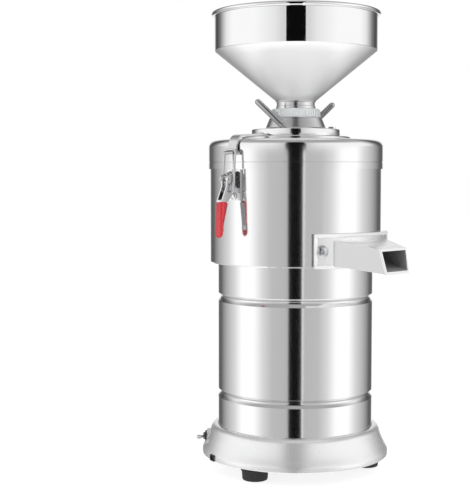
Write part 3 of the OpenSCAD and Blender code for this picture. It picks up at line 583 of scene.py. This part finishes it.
def sweep(name: str, path: Sequence[Vector], half: Point2, sides: int, finish: Finish) -> bpy.types.Object:
    """Runs an oval bead along a closed path that lies on a wall round the axis.

    Args:
        name: Object name.
        path: Points in millimetres, the last joined to the first.
        half: Half of the bead's thickness and half of its width.
        sides: Number of points round the bead.
        finish: The finish it takes.

    Returns:
        The bead.
    """
    verts, n = [], len(path)
    for i, point in enumerate(path):
        run = (path[(i + 1) % n] - path[i - 1]).normalized()
        out = Vector((point.x, point.y, 0)).normalized()
        side = out.cross(run).normalized()
        for a in steps_round(sides):
            verts.append((point + out * (half[0] * math.sin(a)) + side * (half[1] * math.cos(a))) * MM)
    return add_mesh(name, verts, wrap_faces(n, sides), finish)


class Repeater:
    """A Geometry Nodes tree that sets copies of a small shape round a circle."""

    def __init__(self, name: str, finish: Finish) -> None:
        """Builds the tree for one finish."""
        tree = bpy.data.node_groups.new(name, "GeometryNodeTree")
        self.tree = tree
        self.ids: dict[str, str] = {}
        tree.interface.new_socket(name="Geometry", in_out="INPUT", socket_type="NodeSocketGeometry")
        for label, kind in (("Count", "Int"), ("Radius", "Float"), ("Height", "Float"), ("Start", "Float")):
            sock = tree.interface.new_socket(name=label, in_out="INPUT", socket_type=f"NodeSocket{kind}")
            self.ids[label] = sock.identifier
        tree.interface.new_socket(name="Geometry", in_out="OUTPUT", socket_type="NodeSocketGeometry")
        new, link = tree.nodes.new, tree.links.new
        entry, out = new("NodeGroupInput"), new("NodeGroupOutput")
        points = new("GeometryNodePoints")
        index = new("GeometryNodeInputIndex")
        calc = partial(math_node, tree)
        share = calc("DIVIDE", index.outputs[0], entry.outputs["Count"])
        turn = calc("ADD", calc("MULTIPLY", share, 2 * math.pi), entry.outputs["Start"])
        spot = new("ShaderNodeCombineXYZ")
        link(calc("MULTIPLY", calc("COSINE", turn), entry.outputs["Radius"]), spot.inputs[0])
        link(calc("MULTIPLY", calc("SINE", turn), entry.outputs["Radius"]), spot.inputs[1])
        link(entry.outputs["Height"], spot.inputs[2])
        link(entry.outputs["Count"], points.inputs["Count"])
        link(spot.outputs[0], points.inputs["Position"])
        facing = new("ShaderNodeCombineXYZ")
        link(turn, facing.inputs[2])
        copies = new("GeometryNodeInstanceOnPoints")
        link(points.outputs[0], copies.inputs["Points"])
        link(entry.outputs["Geometry"], copies.inputs["Instance"])
        link(facing.outputs[0], copies.inputs["Rotation"])
        real = new("GeometryNodeRealizeInstances")
        link(copies.outputs[0], real.inputs[0])
        paint = new("GeometryNodeSetMaterial")
        paint.inputs["Material"].default_value = finish.material()
        link(real.outputs[0], paint.inputs[0])
        link(paint.outputs[0], out.inputs[0])

    def run(
        self, seed: bpy.types.Object, count: int, radius: float, height: float, start_deg: float
    ) -> bpy.types.Object:
        """Turns a seed shape into a ring of copies.

        Args:
            seed: The shape, drawn at the origin and facing along +X.
            count: Number of copies.
            radius: Radius of the circle in millimetres.
            height: Height of the circle in millimetres.
            start_deg: Angle of the first copy from +X, in degrees.

        Returns:
            The seed, its mesh now the ring of copies.
        """
        seed.modifiers.clear()
        mod = seed.modifiers.new("repeat", "NODES")
        mod.node_group = self.tree
        mod[self.ids["Count"]] = count
        mod[self.ids["Radius"]] = radius * MM
        mod[self.ids["Height"]] = height * MM
        mod[self.ids["Start"]] = math.radians(start_deg)
        evaluated = seed.evaluated_get(bpy.context.evaluated_depsgraph_get())
        mesh = bpy.data.meshes.new_from_object(evaluated)
        seed.modifiers.clear()
        seed.data = mesh
        soften(seed)
        return seed


def turned_seed(
    name: str, profile: Sequence[Point2], axis: str, finish: Finish, steps: int = 20, closed: bool = False
) -> bpy.types.Object:
    """Makes a small turned shape about a line through the origin.

    Args:
        name: Object name.
        profile: Radius and distance pairs in millimetres, from pole to pole, or round a closed section.
        axis: "X" for a shape that faces outward, "Z" for one that faces up.
        finish: The finish it takes.
        steps: Number of steps round.
        closed: True for a ring, whose profile meets its own start.

    Returns:
        The seed object.
    """
    verts = []
    for a in steps_round(steps):
        for r, d in profile:
            u, v = r * math.cos(a), r * math.sin(a)
            verts.append(Vector((d, u, v) if axis == "X" else (u, v, d)) * MM)
    return add_mesh(name, verts, wrap_faces(steps, len(profile), closed), finish)


def flat_seam(
    name: str, bearing: float, run: Sequence[Point2], half: Point2 = (0.22, 0.9), sink: float = 0.08
) -> bpy.types.Object:
    """Makes a flat lengthwise weld on a turned sheet.

    Args:
        name: Object name.
        bearing: Where the weld runs.
        run: Radius and height pairs along it, in millimetres.
        half: Half of its thickness and half of its width.
        sink: How far its middle lies under the sheet's face.

    Returns:
        The weld.
    """
    out, side = toward(bearing), toward(bearing + 90)
    sections = [
        [(out * (r + half[0] * math.sin(a) - sink) + side * (half[1] * math.cos(a)) + Vector((0, 0, z))) * MM
         for a in steps_round(12)]
        for r, z in run
    ]
    return loft(name, sections, SATIN_DISC)


# ---- studio


@dataclass
class Studio:
    """Camera, lamps, floor and the panels that the polished steel mirrors.

    Attributes:
        distance: From the machine's axis to the camera, in metres.
        eye_height: Height of the camera.
        lens: Focal length in millimetres.
        pitch_deg: How far the camera looks down.
        yaw_deg: How far it looks past the axis.
        level_stops: Brightness of the level panels at angles from behind the camera.
        raised_stops: The same for the raised panels.
        raised_span: Heights of direction where level panels give way to raised ones.
        stripe_deg: Half width of the dark stripe, level and raised.
        line_deg: Middle and half width of the white line beside it.
    """

    distance: float = 1.143
    eye_height: float = 0.2909
    lens: float = 82.27
    pitch_deg: float = 3.70
    yaw_deg: float = 3.076
    level_stops: tuple[Point2, ...] = (
        (0, 0.58), (10, 0.58), (34, 0.62), (48, 0.85), (62, 1.25),
        (84, 1.3), (100, 0.85), (125, 0.45), (142, 0.14), (158, 0.12), (166, 1.0), (180, 1.0),
    )
    raised_stops: tuple[Point2, ...] = (
        (0, 0.75), (18, 0.78), (29, 0.94), (59, 1.12), (100, 1.12),
        (114, 0.92), (122, 0.61), (132, 0.25), (144, 0.08), (156, 0.12), (164, 0.8), (180, 1.0),
    )
    raised_span: Point2 = (0.085, 0.105)
    stripe_deg: Point2 = (9.6, 13.4)
    line_deg: Point2 = (-10.9, 0.9)

    def build(self) -> None:
        """Makes the whole set."""
        self._camera()
        self._floor()
        self._world()
        self._lamps()
        view = bpy.context.scene.view_settings
        view.view_transform = "Standard"

    def _camera(self) -> None:
        """Places the camera at the photograph's viewing angle, with no shift."""
        cam = bpy.data.objects.new("camera", bpy.data.cameras.new("camera"))
        bpy.context.scene.collection.objects.link(cam)
        cam.data.lens = self.lens
        cam.data.sensor_width = 36.0
        cam.data.clip_start = 0.05
        behind = toward(Bearing.CAMERA.value)
        cam.location = (*(behind * self.distance).xy, self.eye_height)
        ahead = -behind
        ahead.rotate(Matrix.Rotation(math.radians(self.yaw_deg), 3, "Z"))
        aim = Vector((ahead.x, ahead.y, -math.tan(math.radians(self.pitch_deg))))
        cam.rotation_euler = aim.to_track_quat("-Z", "Y").to_euler()
        bpy.context.scene.camera = cam

    def _floor(self) -> None:
        """Adds a wide pale floor that fades to white for the camera."""
        mesh = bpy.data.meshes.new("studio_floor")
        s = 6.0
        mesh.from_pydata([(-s, -s, 0), (s, -s, 0), (s, s, 0), (-s, s, 0)], [], [(0, 1, 2, 3)])
        floor = bpy.data.objects.new("studio_floor", mesh)
        bpy.context.scene.collection.objects.link(floor)
        mat = bpy.data.materials.new("studio_floor")
        mat.use_nodes = True
        tree = mat.node_tree
        plain = tree.nodes["Principled BSDF"]
        for label, value in (("Base Color", (0.9, 0.9, 0.9, 1)), ("Roughness", 0.6), ("Specular IOR Level", 0.1)):
            plain.inputs[label].default_value = value
        out = tree.nodes["Material Output"]
        glow = tree.nodes.new("ShaderNodeEmission")
        glow.inputs["Strength"].default_value = 1.4
        mix = tree.nodes.new("ShaderNodeMixShader")
        mix.inputs[0].default_value = 0.6
        tree.links.new(plain.outputs[0], mix.inputs[1])
        tree.links.new(glow.outputs[0], mix.inputs[2])
        tree.links.new(mix.outputs[0], out.inputs["Surface"])
        mesh.materials.append(mat)
        floor.visible_glossy = False

    def _world(self) -> None:
        """Lights the set with a ring of soft panels, and shows white to the camera."""
        world = bpy.data.worlds.new("studio")
        bpy.context.scene.world = world
        world.use_nodes = True
        tree = world.node_tree
        nodes, link = tree.nodes, tree.links.new
        back = nodes["Background"]
        coord = nodes.new("ShaderNodeTexCoord")
        split = nodes.new("ShaderNodeSeparateXYZ")
        link(coord.outputs["Generated"], split.inputs[0])
        calc, span, blend = partial(math_node, tree), partial(map_node, tree), partial(mix_node, tree)
        ahead = toward(Bearing.CAMERA.value)
        along = calc("ADD", calc("MULTIPLY", split.outputs[0], ahead.x), calc("MULTIPLY", split.outputs[1], ahead.y))
        across = calc("ADD", calc("MULTIPLY", split.outputs[0], ahead.y), calc("MULTIPLY", split.outputs[1], -ahead.x))
        signed = calc("ARCTAN2", across, along)
        turn = calc("ABSOLUTE", signed)
        share = calc("DIVIDE", turn, math.pi)
        low_ramp = nodes.new("ShaderNodeValToRGB")
        high_ramp = nodes.new("ShaderNodeValToRGB")
        for ramp, stops in ((low_ramp, self.level_stops), (high_ramp, self.raised_stops)):
            link(share, ramp.inputs[0])
            self._panels(ramp.color_ramp, stops)
        height = split.outputs[2]
        line = calc("COMPARE", signed, *map(math.radians, self.line_deg))
        raised = span(height, self.raised_span)
        ring = blend(raised, low_ramp.outputs["Color"], high_ramp.outputs["Color"])
        topped = blend(span(height, (0.5, 0.75)), ring, (0.46, 0.46, 0.46, 1))
        around = blend(span(height, (-0.27, -0.45)), topped, span(height, (-0.3, -0.9), (0.35, 1.25)))
        reach = span(calc("ABSOLUTE", height), (0.74, 0.8), (1.0, 0.0))
        lined = calc("MULTIPLY", line, calc("SUBTRACT", reach, raised))
        around = blend(lined, around, (1.25, 1.25, 1.25, 1))
        edge = span(height, self.raised_span, tuple(map(math.radians, self.stripe_deg)))
        around = blend(calc("MULTIPLY", calc("LESS_THAN", turn, edge), reach), around, (0.004, 0.004, 0.004, 1))
        path = nodes.new("ShaderNodeLightPath")
        link(blend(path.outputs["Is Camera Ray"], around, (1, 1, 1, 1)), back.inputs["Color"])
        back.inputs["Strength"].default_value = 1.0

    @staticmethod
    def _panels(ramp: bpy.types.ColorRamp, stops: Sequence[Point2]) -> None:
        """Sets how bright the set is at each angle from behind the camera round to the front."""
        for element, (angle, level) in zip((ramp.elements[0], ramp.elements[1]), (stops[0], stops[-1])):
            element.position, element.color = angle / 180.0, (level, level, level, 1)
        for angle, level in stops[1:-1]:
            e = ramp.elements.new(angle / 180.0)
            e.color = (level, level, level, 1)

    def _lamps(self) -> None:
        """Adds a soft lamp overhead for the shadow and a low spot for the satin cone."""
        overhead = bpy.data.lights.new("overhead", "AREA")
        overhead.shape = "DISK"
        overhead.size = 1.2
        overhead.energy = 9.0
        self._hang(overhead, 25.0, 0.9, 1.8, 0.2)
        spot = bpy.data.lights.new("cone_spot", "SPOT")
        spot.energy = 42.0
        spot.spot_size = math.radians(9.6)
        spot.spot_blend = 0.25
        spot.shadow_soft_size = 0.12
        self._hang(spot, 0.0, 1.1, 0.14, 0.408)

    @staticmethod
    def _hang(lamp: bpy.types.Light, turn: float, away: float, height: float, aim: float) -> None:
        """Hangs a lamp that mirrors don't show.

        Args:
            lamp: The lamp.
            turn: Bearing from the camera's, in degrees.
            away: Distance from the machine's axis in metres.
            height: Height above the floor.
            aim: Height of the point on the axis that it faces.
        """
        obj = bpy.data.objects.new(lamp.name, lamp)
        spot = toward(Bearing.CAMERA.value + turn) * away
        obj.location = (spot.x, spot.y, height)
        obj.rotation_euler = (Vector((0, 0, aim)) - Vector(obj.location)).to_track_quat("-Z", "Y").to_euler()
        obj.visible_glossy = False
        bpy.context.scene.collection.objects.link(obj)


# ---- sub-assemblies


@dataclass
class Base:
    """Cast base with its plate, feet, switch and grommet.

    Attributes:
        foot_ring: Radius of the feet's circle in millimetres, and angle of the first from +X.
        plate_ring: The same for the plate screws.
        switch_spot: Radius, height and angle of the switch's neck.
    """

    foot_ring: Point2 = (71.55, 70.0)
    plate_ring: Point2 = (79.9, 25.0)
    switch_spot: tuple[float, float, float] = (88.5, 27.912, 132.0)

    def build(self) -> None:
        """Dresses the base."""
        dress(["base_casting"], CAST_PAINT)
        dress(["base_bottom_plate"], PLATE_PAINT)
        dress(["rubber_feet", "cord_grommet"], RUBBER)
        dress(["foot_screws", "plate_screws"], ZINC)
        dress(["switch_body", "switch_nut"], BLACK_PLASTIC)
        dress(["switch_lever"], BRIGHT)
        rubber, zinc = Repeater("rubber_ring", RUBBER), Repeater("zinc_ring", ZINC)
        bead = [(0, 9.2), (13.5, 9.2), (13.9, 9.7), (13.9, 10.7), (13.5, 11.2), (0, 11.2)]
        foot = turned_seed("foot_beads", bead, "Z", RUBBER, 48)
        radius, start = self.foot_ring
        place(rubber.run(foot, 3, radius, 0.0, start), "frame")
        flat = [(3.3, 14.4), (4.6, 14.4), (4.8, 14.6), (4.8, 14.95), (3.3, 14.95)]
        washer = turned_seed("plate_washers", flat, "Z", ZINC, 28, True)
        radius, start = self.plate_ring
        place(zinc.run(washer, 3, radius, 0.0, start), "frame")
        turns = [(3.2, 2.3)] + [(3.75 if i % 2 else 3.4, 2.3 + 0.2 * i) for i in range(9)] + [(3.2, 3.9)]
        thread = turned_seed("switch_thread", turns, "X", ZINC, 28, True)
        place(zinc.run(thread, 1, *self.switch_spot), "frame")


@dataclass
class Motor:
    """Polished shell and the motor inside it.

    Attributes:
        shell_radius: Outer radius of the shell, in millimetres.
        seams: Name, foot and top of each stretch of its weld.
    """

    shell_radius: float = 77.2
    seams: tuple[tuple[str, float, float], ...] = (("low", 46.0, 69.5), ("middle", 82.0, 165.0), ("high", 178.0, 204.0))

    def build(self) -> None:
        """Dresses the shell and the motor."""
        dress(["motor_shell"], POLISHED)
        dress(["lower_end_shield", "upper_end_shield"], CAST_PLAIN)
        dress(["stator_core", "rotor_core"], LAMINATION)
        dress(["stator_windings"], COPPER)
        dress(["tie_bolts", "lower_bearing", "upper_bearing", "motor_shaft"], ZINC)
        dress(["run_capacitor"], PALE_PLASTIC)
        dress(["cooling_fan"], BLACK_PLASTIC)
        for part, low, high in self.seams:
            run = [(self.shell_radius, low + (high - low) * i / 8) for i in range(9)]
            seam = flat_seam(f"shell_seam_{part}", Bearing.BACK.value, run)
            place(seam, "frame")


@dataclass
class GrindingSet:
    """Housing, bowl and the two stones.

    Attributes:
        housing_radius: Outer radius of the housing, in millimetres.
    """

    housing_radius: float = 85.0

    def build(self) -> None:
        """Dresses the housing and the grinding set."""
        dress(["grinder_housing"], POLISHED)
        run = [(self.housing_radius, 207.5 + 11.0 * i) for i in range(9)]
        seam = flat_seam("housing_seam", Bearing.BACK.value, run)
        place(seam, "frame")
        dress(["grinding_bowl"], CAST_PLAIN)
        dress(["shaft_seal"], RUBBER)
        dress(["flinger", "stone_bolt", "stone_carrier"], BRIGHT)
        dress(["rotating_stone", "fixed_stone"], STONE)


@dataclass
class Head:
    """Lid, head disc, adjuster and feed cone.

    Attributes:
        rod_foot: Where a rod leaves the ring's top, before the turn to the camera.
        ring_top: Height of the ring's top, in millimetres.
        rod_turns: Turns of a rod about the vertical, its own and the pair's.
        rod_lean: Angle of a rod from the horizontal.
        collar: Distance along a rod and radius, for each section of its collar.
    """

    rod_foot: Point2 = (-10.2, -35.6)
    ring_top: float = 337.0
    rod_turns: Point2 = (-16.0, -48.0)
    rod_lean: float = 43.0
    collar: tuple[Point2, ...] = ((3.5, 2.7), (3.7, 3.1), (5.3, 3.1), (5.6, 2.7))

    def _collar(self) -> bpy.types.Object:
        """Returns the turned collar at the foot of one rod."""
        pair = Matrix.Rotation(math.radians(self.rod_turns[1]), 3, "Z")
        own = pair @ Matrix.Rotation(math.radians(self.rod_turns[0]), 3, "Z") @ Matrix.Rotation(
            math.radians(self.rod_lean - 90.0), 3, "Y")
        foot = pair @ Vector((*self.rod_foot, self.ring_top))
        rings = []
        for s, r in self.collar:
            rings.append([
                (foot + own @ Vector((r * math.cos(a), r * math.sin(a), s))) * MM
                for a in steps_round(28)
            ])
        return loft("rod_collars", rings, ROD)

    def build(self) -> None:
        """Dresses the head."""
        dress(["housing_lid", "adjusting_ring"], POLISHED)
        dress(["head_disc"], SATIN_DISC)
        dress(["hook_straps"], STRAP)
        dress(["strap_rivets", "ring_bolts"], BRIGHT)
        dress(["handle_rods"], ROD)
        dress(["feed_cone"], CONE)
        collars = Repeater("rod_collar", ROD).run(self._collar(), 2, 0.0, 0.0, 0.0)
        place(collars, "adjuster")
        dress(["ring_nut"], PALE_PLASTIC)


@dataclass
class Hopper:
    """Funnel with a polished band over a satin cone.

    Attributes:
        band_foot: Height where the cone meets the band, in millimetres.
        band_radius: Outer radius of the band.
        rim: Height of the rolled rim's top.
        neck: Radius and height where neck and cone meet.
        seam_bearing: Where the sheet's lengthwise weld runs.
    """

    band_foot: float = 414.2
    band_radius: float = 80.5
    rim: float = 451.8
    neck: Point2 = (19.0, 364.4)
    seam_bearing: float = 128.0

    def build(self) -> None:
        """Dresses the hopper and adds its welds."""
        dress(["hopper"], HOPPER_SHEET)
        dress(["hopper_neck"], TURNED)
        bead = lathe("hopper_weld", self._bead_profile(), SATIN_DISC, 160)
        place(bead, "hopper")
        seam = flat_seam("hopper_seam", self.seam_bearing, self._seam_run(), (0.28, 1.1), 0.12)
        place(seam, "hopper")

    def _bead_profile(self) -> list[Point2]:
        """Returns the section of the weld between neck and cone."""
        r, z = self.neck[0], 364.5
        angles = [math.radians(-90 + 300 * i / 11) for i in range(12)]
        return [(r + 1.1 * math.cos(a), z - 0.25 + 0.75 * math.sin(a)) for a in angles]

    def _seam_run(self) -> list[Point2]:
        """Returns the line of the flat weld up the back of cone and band."""
        slope = (self.band_radius - self.neck[0]) / (self.band_foot - self.neck[1])
        run = []
        for i in range(25):
            z = 366.5 + (self.rim - 6.0 - 366.5) * i / 24
            run.append((min(self.neck[0] + (z - self.neck[1]) * slope, self.band_radius), z))
        return run


@dataclass
class Spout:
    """Cast spout with its screws and edge beads in a lighter paint, which is a painted highlight.

    Attributes:
        flange_radius: Outer radius of the curved flange, in millimetres.
        flange_span: Heights of the flange's lower and upper edge.
        half_deg: Half of the angle that the flange covers.
        duct_half: Half of the duct's width at the flange.
        duct_root: Heights of the duct's lower and upper face where it starts.
        duct_start: Distance from the axis where it starts to slope.
        duct_drop: How far it falls from there to the mouth.
        mouth: Distance from the axis and height of the mouth's lower and upper lip.
        mouth_half: Half of the mouth's width at its lower and upper lip.
    """

    flange_radius: float = 91.0
    flange_span: Point2 = (205.0, 237.4)
    half_deg: float = 37.03
    duct_half: float = 38.0
    duct_root: Point2 = (207.4, 230.4)
    duct_start: float = 84.0
    duct_drop: float = 6.4
    mouth: tuple[Point2, ...] = ((127.5, 201.0), (122.0, 224.0))
    mouth_half: Point2 = (17.5, 20.0)

    def build(self) -> None:
        """Dresses the spout, adds a fillet round the duct, and adds beads on the flange's edge and round the mouth in a
        lighter paint that is a painted highlight.
        """
        dress(["spout", "spout_flange"], CAST_PAINT)
        dress(["spout_gasket"], RUBBER)
        dress(["spout_screws"], ZINC)
        place(self._flange_edge(), "frame")
        place(self._mouth_bead(), "frame")
        place(self._duct_fillet(), "frame")

    def _duct_fillet(self) -> bpy.types.Object:
        """Returns the rounded bead where the duct meets the flange."""
        r, w = self.flange_radius, self.duct_half

        def spot(x: float, upper: bool) -> Vector:
            """Returns the corner line's point at one offset from the duct's middle."""
            y = math.sqrt(r * r - x * x)
            reach = self.mouth[upper][0] - self.duct_start
            drop = self.duct_drop * max(0.0, y - self.duct_start) / reach
            return Vector((x, -y, self.duct_root[upper] - drop))

        path = [spot(-w + 2 * w * i / 24, True) for i in range(25)]
        path += [spot(w, True).lerp(spot(w, False), i / 6) for i in range(1, 6)]
        path += [spot(w - 2 * w * i / 24, False) for i in range(25)]
        path += [spot(-w, False).lerp(spot(-w, True), i / 6) for i in range(1, 6)]
        return sweep("duct_fillet", path, (0.9, 0.9), 8, CAST_PAINT)

    def _mouth_bead(self) -> bpy.types.Object:
        """Returns the rounded bead round the mouth, set back from its plane, in a lighter paint that is a painted
        highlight.
        """
        (y0, z0), (y1, z1) = self.mouth
        up = Vector((0, y0 - y1, z1 - z0)).normalized()
        back = Vector((0, up.z, -up.y))
        corners = [
            Vector((-self.mouth_half[0], -y0, z0)), Vector((self.mouth_half[0], -y0, z0)),
            Vector((self.mouth_half[1], -y1, z1)), Vector((-self.mouth_half[1], -y1, z1)),
        ]
        middle = sum(corners, Vector()) / 4
        verts = []
        for corner in corners:
            rise = up * math.copysign(1, (corner - middle).dot(up))
            away = Vector((math.copysign(1, corner.x - middle.x), 0, 0)) + rise
            for a in steps_round(10):
                point = corner - away * 0.5 + back * 1.0 + away * (1.05 * math.cos(a)) + back * (0.95 * math.sin(a))
                verts.append(point * MM)
        return add_mesh("mouth_bead", verts, wrap_faces(4, 10), HIGHLIGHT_EDGE_PAINT)

    def _flange_edge(self) -> bpy.types.Object:
        """Returns a thin rounded bead that follows the flange's outer edge, in a lighter paint that is a painted
        highlight.
        """
        low, high = self.flange_span
        inset, r = 1.7, self.flange_radius
        lean = math.degrees(inset / r)
        half = self.half_deg - lean
        steps, rise = 32, high - low - 2 * inset
        path = [(-half + 2 * half * i / steps, high - inset) for i in range(steps + 1)]
        path += [(half, high - inset - rise * i / 8) for i in range(1, 9)]
        path += [(half - 2 * half * i / steps, low + inset) for i in range(1, steps + 1)]
        path += [(-half, low + inset + rise * i / 8) for i in range(1, 8)]
        spots = [toward(a) * r + Vector((0, 0, z)) for a, z in path]
        return sweep("flange_edge", spots, (0.8, 1.65), 10, HIGHLIGHT_EDGE_PAINT)


@dataclass
class Latch:
    """One toggle latch with its dipped grip.

    Attributes:
        side: "left" or "right".
        outward: Unit direction from the machine's axis to the latch.
        top: Radius and height of the grip's outer face at its top, in millimetres.
        run: Direction of the grip in radius and height.
        length: Length of the grip.
        half: Half of its width at the top.
        swell: How much that half grows towards the tip.
        depth: The grip's depth at its top.
        taper: How much depth it loses towards the tip.
    """

    side: str
    outward: Vector
    top: Point2 = (107.2, 267.0)
    run: Point2 = (0.035, -0.999)
    length: float = 34.0
    half: float = 4.25
    swell: float = 0.45
    depth: float = 9.1
    taper: float = 5.6

    def build(self) -> None:
        """Dresses the latch and moulds its grip."""
        dress([f"lever_{self.side}", f"bail_{self.side}", f"pivot_pin_{self.side}"], BRIGHT)
        dress([f"grip_{self.side}"], RED_GRIP)
        grip = loft(f"dipped_grip_{self.side}", [self._section(i / 36) for i in range(37)], RED_GRIP)
        place(grip, f"latch_{self.side}", (f"grip_{self.side}",))
        backing = loft(f"grip_backing_{self.side}", [self._strip(0.03 + 0.78 * i / 20) for i in range(21)], STRAP)
        place(backing, f"latch_{self.side}")

    def _girth(self, s: float) -> Point2:
        """Returns the grip's depth and half width at a distance down it."""
        depth = self.depth - self.taper * min(s / (0.7 * self.length), 1.0)
        return depth, self.half + self.swell * max(0.0, min((s - 20.0) / 6.0, 1.0))

    def _point(self, s: float, offset: float, y: float) -> Vector:
        """Returns the point at a distance down the grip, an offset outward and a step across."""
        across = Vector((-self.outward.y, self.outward.x, 0.0))
        radius = self.top[0] + self.run[0] * s - self.run[1] * offset
        height = self.top[1] + self.run[1] * s + self.run[0] * offset
        return (self.outward * radius + across * y + Vector((0, 0, height))) * MM

    def _strip(self, t: float) -> list[Vector]:
        """Returns a section of the bare steel strip behind the grip at a share of its length."""
        s = self.length * t
        depth, wide = self._girth(s)
        wide *= 0.96
        return [
            self._point(s, -depth + 0.1 + 0.7 * math.sin(a), wide * rounded(math.cos(a), 0.4))
            for a in steps_round(16)
        ]

    def _section(self, t: float) -> list[Vector]:
        """Returns the closed section of the grip at a share of its length.

        Args:
            t: 0 at the top and 1 at the tip.

        Returns:
            Points round the section, in metres.
        """
        s = self.length * t
        depth, wide = self._girth(s)
        middle = depth / 2
        end = max(0.0, s - (self.length - wide)) / wide
        shrink = math.sqrt(max(1.0 - end * end, 0.0004))
        lip = math.sqrt(max(1.0 - ((1.2 - s) / 1.2) ** 2, 0.0)) if s < 1.2 else 1.0
        wide *= shrink * (0.88 + 0.12 * lip)
        middle *= (0.35 + 0.65 * shrink) * (0.9 + 0.1 * lip)
        points = []
        for a in steps_round(48):
            y = wide * rounded(math.cos(a), 0.62)
            d = middle * rounded(math.sin(a), 0.62)
            if d > 0:
                d -= 0.9 * math.exp(-(((y + 0.9) / 1.1) ** 2)) * max(0.0, 1.0 - s / 24.0)
            points.append(self._point(s, d - depth / 2, y))
        return points


@dataclass
class Brackets:
    """Latch brackets with washers under their rivets.

    Attributes:
        radius: Distance of the rivets' seats from the machine's axis, in millimetres.
        heights: Names and heights of the two rows of rivets.
    """

    radius: float = 87.1
    heights: tuple[tuple[str, float], ...] = (("low", 272.0), ("high", 293.2))

    def build(self) -> None:
        """Dresses the brackets and sets the washers."""
        dress(["latch_brackets", "bracket_rivets"], BRIGHT)
        for label, height in self.heights:
            flat = [(2.8, 0), (3.9, 0), (3.9, 0.3), (2.8, 0.5)]
            ring = turned_seed(f"rivet_washers_{label}", flat, "X", BRIGHT, 28, True)
            row = Repeater(f"rivet_ring_{label}", BRIGHT).run(ring, 2, self.radius, height, 0.0)
            place(row, "frame")


def main() -> None:
    """Builds the set and dresses the machine from the base up."""
    logging.basicConfig(level=logging.INFO, format="%(name)s: %(message)s")
    for part in (Studio, Base, Motor, GrindingSet, Head, Hopper, Spout, Brackets):
        part().build()
    Latch("left", Vector((-1, 0, 0))).build()
    Latch("right", Vector((1, 0, 0))).build()


if __name__ == "__main__":
    main()
